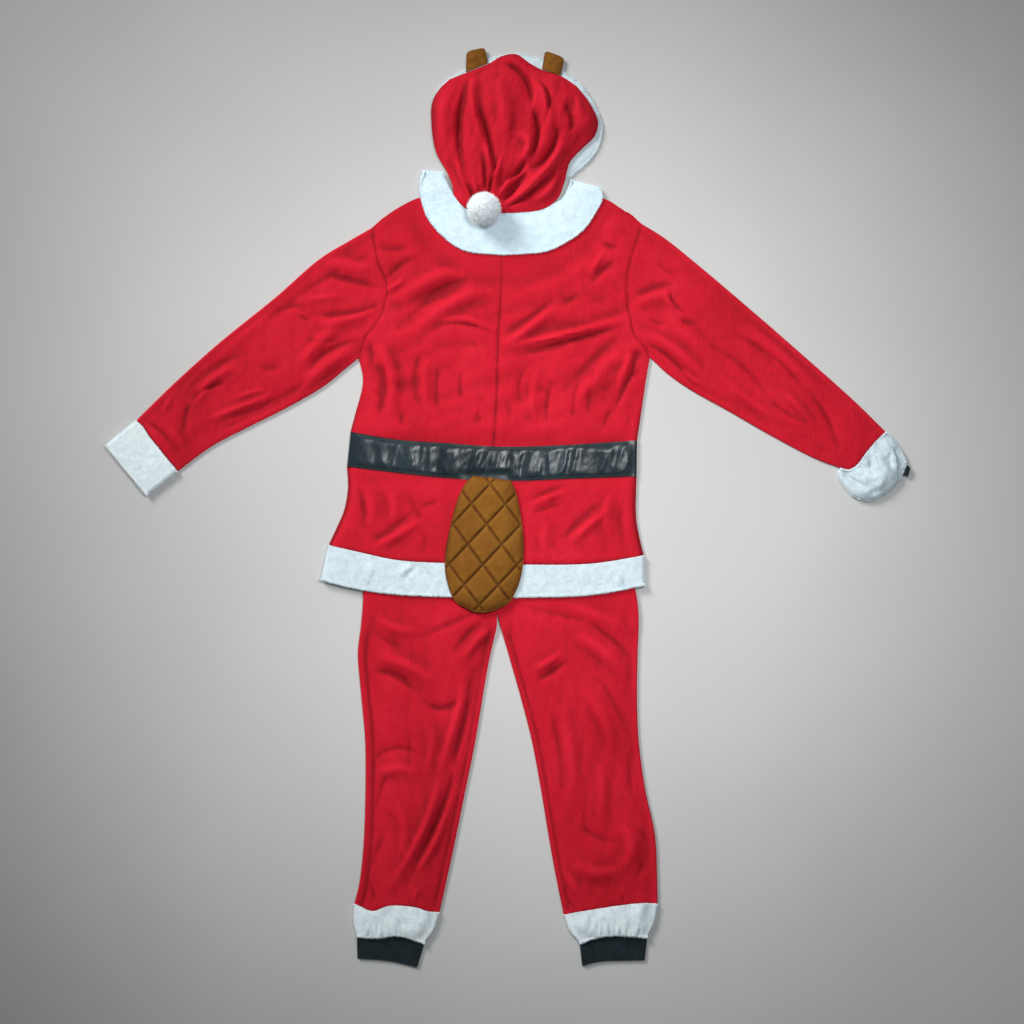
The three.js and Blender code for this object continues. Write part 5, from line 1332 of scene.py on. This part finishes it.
BELT_STITCH_IN = 3.5
QUILT_LINES = 3           # lines of stitching on each side of the middle one
QUILT_CELLS = 4           # half their length, in cells, before the tail's edge cuts them
stitch_runs = []
for k in range(-QUILT_LINES, QUILT_LINES + 1):
    for along, across in ((QUILT_A, QUILT_B), (QUILT_B, QUILT_A)):
        middle = np.array(QUILT_AT) + k * np.array(across)
        half = QUILT_CELLS * np.array(along)
        run = inside_tail(np.array([middle - half, middle + half]))
        if len(run) > 3:
            stitch_runs.append(run)
dashes("tail_stitches", stitch_runs, tail_top, width=1.5, high=0.5, pitch=3.6, fill=0.72,
       material=BROWN_THREAD)
belt_lines = [pulled(line(points, 160), line(other, 160), BELT_STITCH_IN)[4:-4]
              for points, other in ((BELT_UPPER, BELT_LOWER), (BELT_LOWER, BELT_UPPER))]
dashes("belt_stitches", belt_lines, lambda x, y: belt_top(x, y, np.full_like(x, 30.0)), width=1.1, high=0.35,
       pitch=4.4, fill=0.72, material=BLACK_THREAD)
wall("tail_quilted", with_z(tail_rows, tail_z), with_z(tail_rows, tail_bottom(0.0, tail_rows[..., 1])),
     False, BROWN, ["tail"])


# ---- pile, fringes and pompom ----------------------------------------------------------------------
ROOT_DEPTH = 0.6
SHORTEST, LONGEST = 0.6, 1.15          # locks, as shares of the length asked for


def tuft_mesh(roots, normals, length, width, lean, random, floor=0.4):
    """Small three-sided locks: roots in the cloth, tips leaning at random."""
    count = len(roots)
    drift = random.normal(size=(count, 3))
    drift -= (drift * normals).sum(axis=1, keepdims=True) * normals
    direction = normals + lean * drift / np.maximum(np.linalg.norm(drift, axis=1, keepdims=True), 1e-6)
    direction /= np.linalg.norm(direction, axis=1, keepdims=True)
    side = np.cross(direction, random.normal(size=(count, 3)))
    side /= np.maximum(np.linalg.norm(side, axis=1, keepdims=True), 1e-6)
    other = np.cross(direction, side)
    lengths = length * random.uniform(SHORTEST, LONGEST, size=(count, 1))
    corners = []
    for turn in (0, 120, 240):
        c, s = math.cos(math.radians(turn)), math.sin(math.radians(turn))
        corners.append(roots - direction * ROOT_DEPTH + (side * c + other * s) * width / 2)
    corners.append(roots + direction * lengths)
    points = np.stack(corners, axis=1).reshape(-1, 3)
    points[:, 2] = np.maximum(points[:, 2], floor)
    base = (np.arange(count) * 4)[:, None]
    faces = np.concatenate([base + np.array(f) for f in ((0, 2, 1), (0, 1, 3), (1, 2, 3), (2, 0, 3))])
    return points, faces


def surface_points(face, count, random, lowest=1.2):
    """Random points and outward normals on a grid of surface points (rows, columns, xyz)."""
    a, b, c, d = face[:-1, :-1], face[:-1, 1:], face[1:, 1:], face[1:, :-1]
    normal = np.cross(c - a, d - b).reshape(-1, 3)
    area = np.linalg.norm(normal, axis=1)
    middle = ((a + b + c + d) / 4).reshape(-1, 3)
    normal = normal / np.maximum(area, 1e-9)[:, None]
    # the upper part of the surface has to face up
    highest = middle[:, 2] > np.percentile(middle[:, 2], 60)
    if (normal[highest, 2] * area[highest]).sum() < 0:
        normal = -normal
    weight = area * (middle[:, 2] > lowest)
    pick = random.choice(len(area), size=count, p=weight / weight.sum())
    u, v = random.uniform(size=(2, count, 1))
    flat = [corner.reshape(-1, 3)[pick] for corner in (a, b, c, d)]
    points = (flat[0] * (1 - u) + flat[1] * u) * (1 - v) + (flat[3] * (1 - u) + flat[2] * u) * v
    return points, normal[pick]


def closed_loop(face):
    """A tube's points with the first column again at the end."""
    return np.concatenate([face, face[:, :1]], axis=1)


def furred(name, face, count, seed, pile=WHITE, length=2.4, width=1.5, lean=1.7):
    random = np.random.default_rng(seed)
    roots, normals = surface_points(face, count, random)
    points, faces = tuft_mesh(roots, normals, length, width, lean, random)
    # shaded with the cloth's own normals, so that the pile reads as one soft surface
    return make_object(name, points, faces, pile, sharp=0,
                       normals=np.repeat(normals, 4, axis=0))


EDGE_STEPS = 400
FRINGE_IN = (0.8, 3.2)    # how far inside the edge the roots lie
FRINGE_WIDTH = 1.7
FRINGE_LEAN = 0.55


def fringe(name, edges, seed, pile=WHITE):
    """Locks that stand out from edges of cloth.

    Each edge is (its line, a line inside it, lowest and highest root, number of locks, their length)."""
    random = np.random.default_rng(seed)
    points, faces, shading = [], [], []
    for edge, inside, low, high, count, length in edges:
        at, within = resampled(edge, EDGE_STEPS), resampled(inside, EDGE_STEPS)
        at_step = random.uniform(0, EDGE_STEPS - 0.1, size=count)
        k = at_step.astype(int)
        share = (at_step - k)[:, None]
        out = (at - pulled(at, within, 1.0))[k]
        inset = random.uniform(*FRINGE_IN, (count, 1))
        height = random.uniform(low, high, (count, 1))
        roots = np.hstack([at[k] * (1 - share) + at[k + 1] * share - inset * out, height])
        direction = np.hstack([out, random.uniform(-0.05, 0.35, (count, 1))])
        direction /= np.linalg.norm(direction, axis=1, keepdims=True)
        lock, lock_faces = tuft_mesh(roots, direction, length, FRINGE_WIDTH, FRINGE_LEAN, random)
        faces.append(lock_faces + sum(len(part) for part in points))
        points.append(lock)
        soft = direction * 0.15 + (-0.25, 0.25, 1)
        shading.append(np.repeat(soft / np.linalg.norm(soft, axis=1, keepdims=True), 4, axis=0))
    return make_object(name, np.vstack(points), np.vstack(faces), pile, sharp=0,
                       normals=np.vstack(shading))


furred("hem_pile", closed_loop(hem_outer), 6500, 1)
furred("cuff_pile_left", closed_loop(cuff_outer), 1800, 2, FLEECE_PAINTED_BRIGHTER)
furred("cuff_pile_right", lump_outer, 2600, 3)
furred("collar_pile", collar_outer_face, 4200, 4, COLLAR_WHITE)
furred("brim_pile", np.concatenate([brim_face, brim_face[:1]]), 3600, 5)
for side, pile_seed, fringe_seed in (("left", 6, 11), ("right", 7, 12)):
    band, seam_line, band_end = bands[side]
    furred(f"ankle_pile_{side}", closed_loop(band), 1900, pile_seed, FLEECE_PAINTED_BRIGHTER)
    edges = [(band_end, seam_line, 8.0, 10.2, 900, 5.6), (band_end, seam_line, 3.0, 8.0, 600, 4.5),
             (seam_line, band_end, 6.0, 9.8, 600, 2.2)]
    fringe(f"ankle_fringe_{side}", edges, fringe_seed, FLEECE_PAINTED_BRIGHTER)
hem_sides = [(hem_rows[:, 0], hem_rows[:, 6]), (hem_rows[:, -1], hem_rows[:, -7])]
hem_edges = [(hem_lower, hem_upper, 10.8, 13.2, 4200, 5.2), (hem_lower, hem_upper, 3.0, 10.8, 2600, 4.0),
             (hem_upper, hem_lower, 8.5, 12.0, 1800, 2.4)]
fringe("hem_fringe", hem_edges + [(edge, inside, 3.0, 8.0, 420, 3.6) for edge, inside in hem_sides], 13)
collar_span = (COLLAR_LIFT + 1.2, COLLAR_LIFT + 4.0)
fringe("collar_fringe", [(collar_outer, collar_inner, *collar_span, 3400, 4.2),
                         (collar_inner, collar_outer, *collar_span, 1900, 3.8)], 14, COLLAR_WHITE)
cuff_sides = [(cuff_rows[:, 0], cuff_rows[:, 6]), (cuff_rows[:, -1], cuff_rows[:, -7])]
cuff_ends = [(cuff_rows[-1], cuff_rows[0], 10.0, 13.2, 620, 4.6),
             (cuff_rows[0], cuff_rows[-1], 8.0, 12.5, 420, 2.6)]
fringe("cuff_fringe_left", [(edge, inside, 4.0, 9.0, 420, 3.6) for edge, inside in cuff_sides] + cuff_ends,
       15, FLEECE_PAINTED_BRIGHTER)
lump_ends = [(lump_rows[-1], lump_rows[0]), (lump_rows[:, 0], lump_rows[:, 9]),
             (lump_rows[:, -1], lump_rows[:, -10])]
fringe("cuff_fringe_right", [(edge, inside, 3.0, 8.0, 620, 3.6) for edge, inside in lump_ends]
       + [(lump_rows[0], lump_rows[-1], 8.0, 11.5, 420, 2.6)], 16)
brim_loop = np.vstack([brim_outer, brim_outer[:1]])
fringe("brim_fringe", [(brim_loop, np.vstack([hole, hole[:1]]), 1.5, 4.6, 2800, 3.8)], 17)

POMPOM_CORE = 25.0
POMPOM_ROOTS = 22         # the locks start this far from the middle
POMPOM_LOCKS = 9500
SOFT_LIGHT = (-0.20, 0.20, 0.76)
sphere = bmesh.new()
bmesh.ops.create_icosphere(sphere, subdivisions=4, radius=POMPOM_CORE)
core_points = np.array([tuple(v.co) for v in sphere.verts]) * (1, 1, POMPOM_FLAT) + POMPOM
core_faces = [[v.index for v in f.verts] for f in sphere.faces]
sphere.free()
# painted light: the same white fleece, made brighter for the pompom
POMPOM_WHITE = fleece("pompom yarn", dark=(0.82, 0.91, 0.97), light=(0.90, 0.97, 1.0))
make_object("pompom_core", core_points, core_faces, POMPOM_WHITE, ["pompom"], sharp=0)
random = np.random.default_rng(8)
rays = random.normal(size=(POMPOM_LOCKS, 3))
rays /= np.linalg.norm(rays, axis=1, keepdims=True)
roots = np.array(POMPOM) + rays * (POMPOM_ROOTS, POMPOM_ROOTS, POMPOM_ROOTS * POMPOM_FLAT)
points, faces = tuft_mesh(roots, rays, 12.6, 2.0, 0.42, random, floor=CROWN_BASE + 1)
# light passes between the locks, so the ball is shaded more softly than a solid one
soft_rays = rays * 0.36 + SOFT_LIGHT + 0.14 * random.normal(size=rays.shape)
soft_rays /= np.linalg.norm(soft_rays, axis=1, keepdims=True)
make_object("pompom_pile", points, faces, POMPOM_WHITE, sharp=0,
            normals=np.repeat(soft_rays, 4, axis=0))

# a bit of rib shows at the mouth of the right cuff
RIB_BIT_NEAR = ((791, -27), (797.6, -7))
RIB_BIT_FAR = ((800, -30), (805, -14))
RIB_BIT_TOP = 10
RIB_BIT_ROUND = 2.5
RIB_BIT_LOW = 2.0
rib_bit = between(straight(*RIB_BIT_NEAR, 8), straight(*RIB_BIT_FAR, 8), columns(7))
bent = (np.linspace(-1, 1, 9)[:, None] ** 2 + np.linspace(-1, 1, 7)[None, :] ** 2) / 2
bump_z = RIB_BIT_TOP - RIB_BIT_ROUND * bent
wall("rib_bit", with_z(rib_bit, bump_z), with_z(rib_bit, RIB_BIT_LOW), False, RIB,
     ["cuff_right_rib"])


# ---- floor -------------------------------------------------------------------------------------
FLOOR_HALF = 4.0
FLOOR_Z = -0.0004
FLOOR_DARK = (0.57, 0.575, 0.57)
FLOOR_LIGHT = (0.63, 0.63, 0.625)


def make_floor():
    mesh = bpy.data.meshes.new("floor")
    corners = [(x * FLOOR_HALF, y * FLOOR_HALF, FLOOR_Z) for x, y in ((-1, -1), (1, -1), (1, 1), (-1, 1))]
    mesh.from_pydata(corners, [], [(0, 1, 2, 3)])
    m, tree, shader = new_material("backdrop", 0.95, Specular_IOR_Level=0.1)
    shade = noise_node(tree, 1.2, 2.0)
    colour = ramp(tree, shade.outputs["Fac"], [(0.3, FLOOR_DARK), (0.7, FLOOR_LIGHT)])
    tree.links.new(colour.outputs["Color"], shader.inputs["Base Color"])
    mesh.materials.append(m)
    floor = bpy.data.objects.new("floor", mesh)
    bpy.context.collection.objects.link(floor)
    return floor


make_floor()
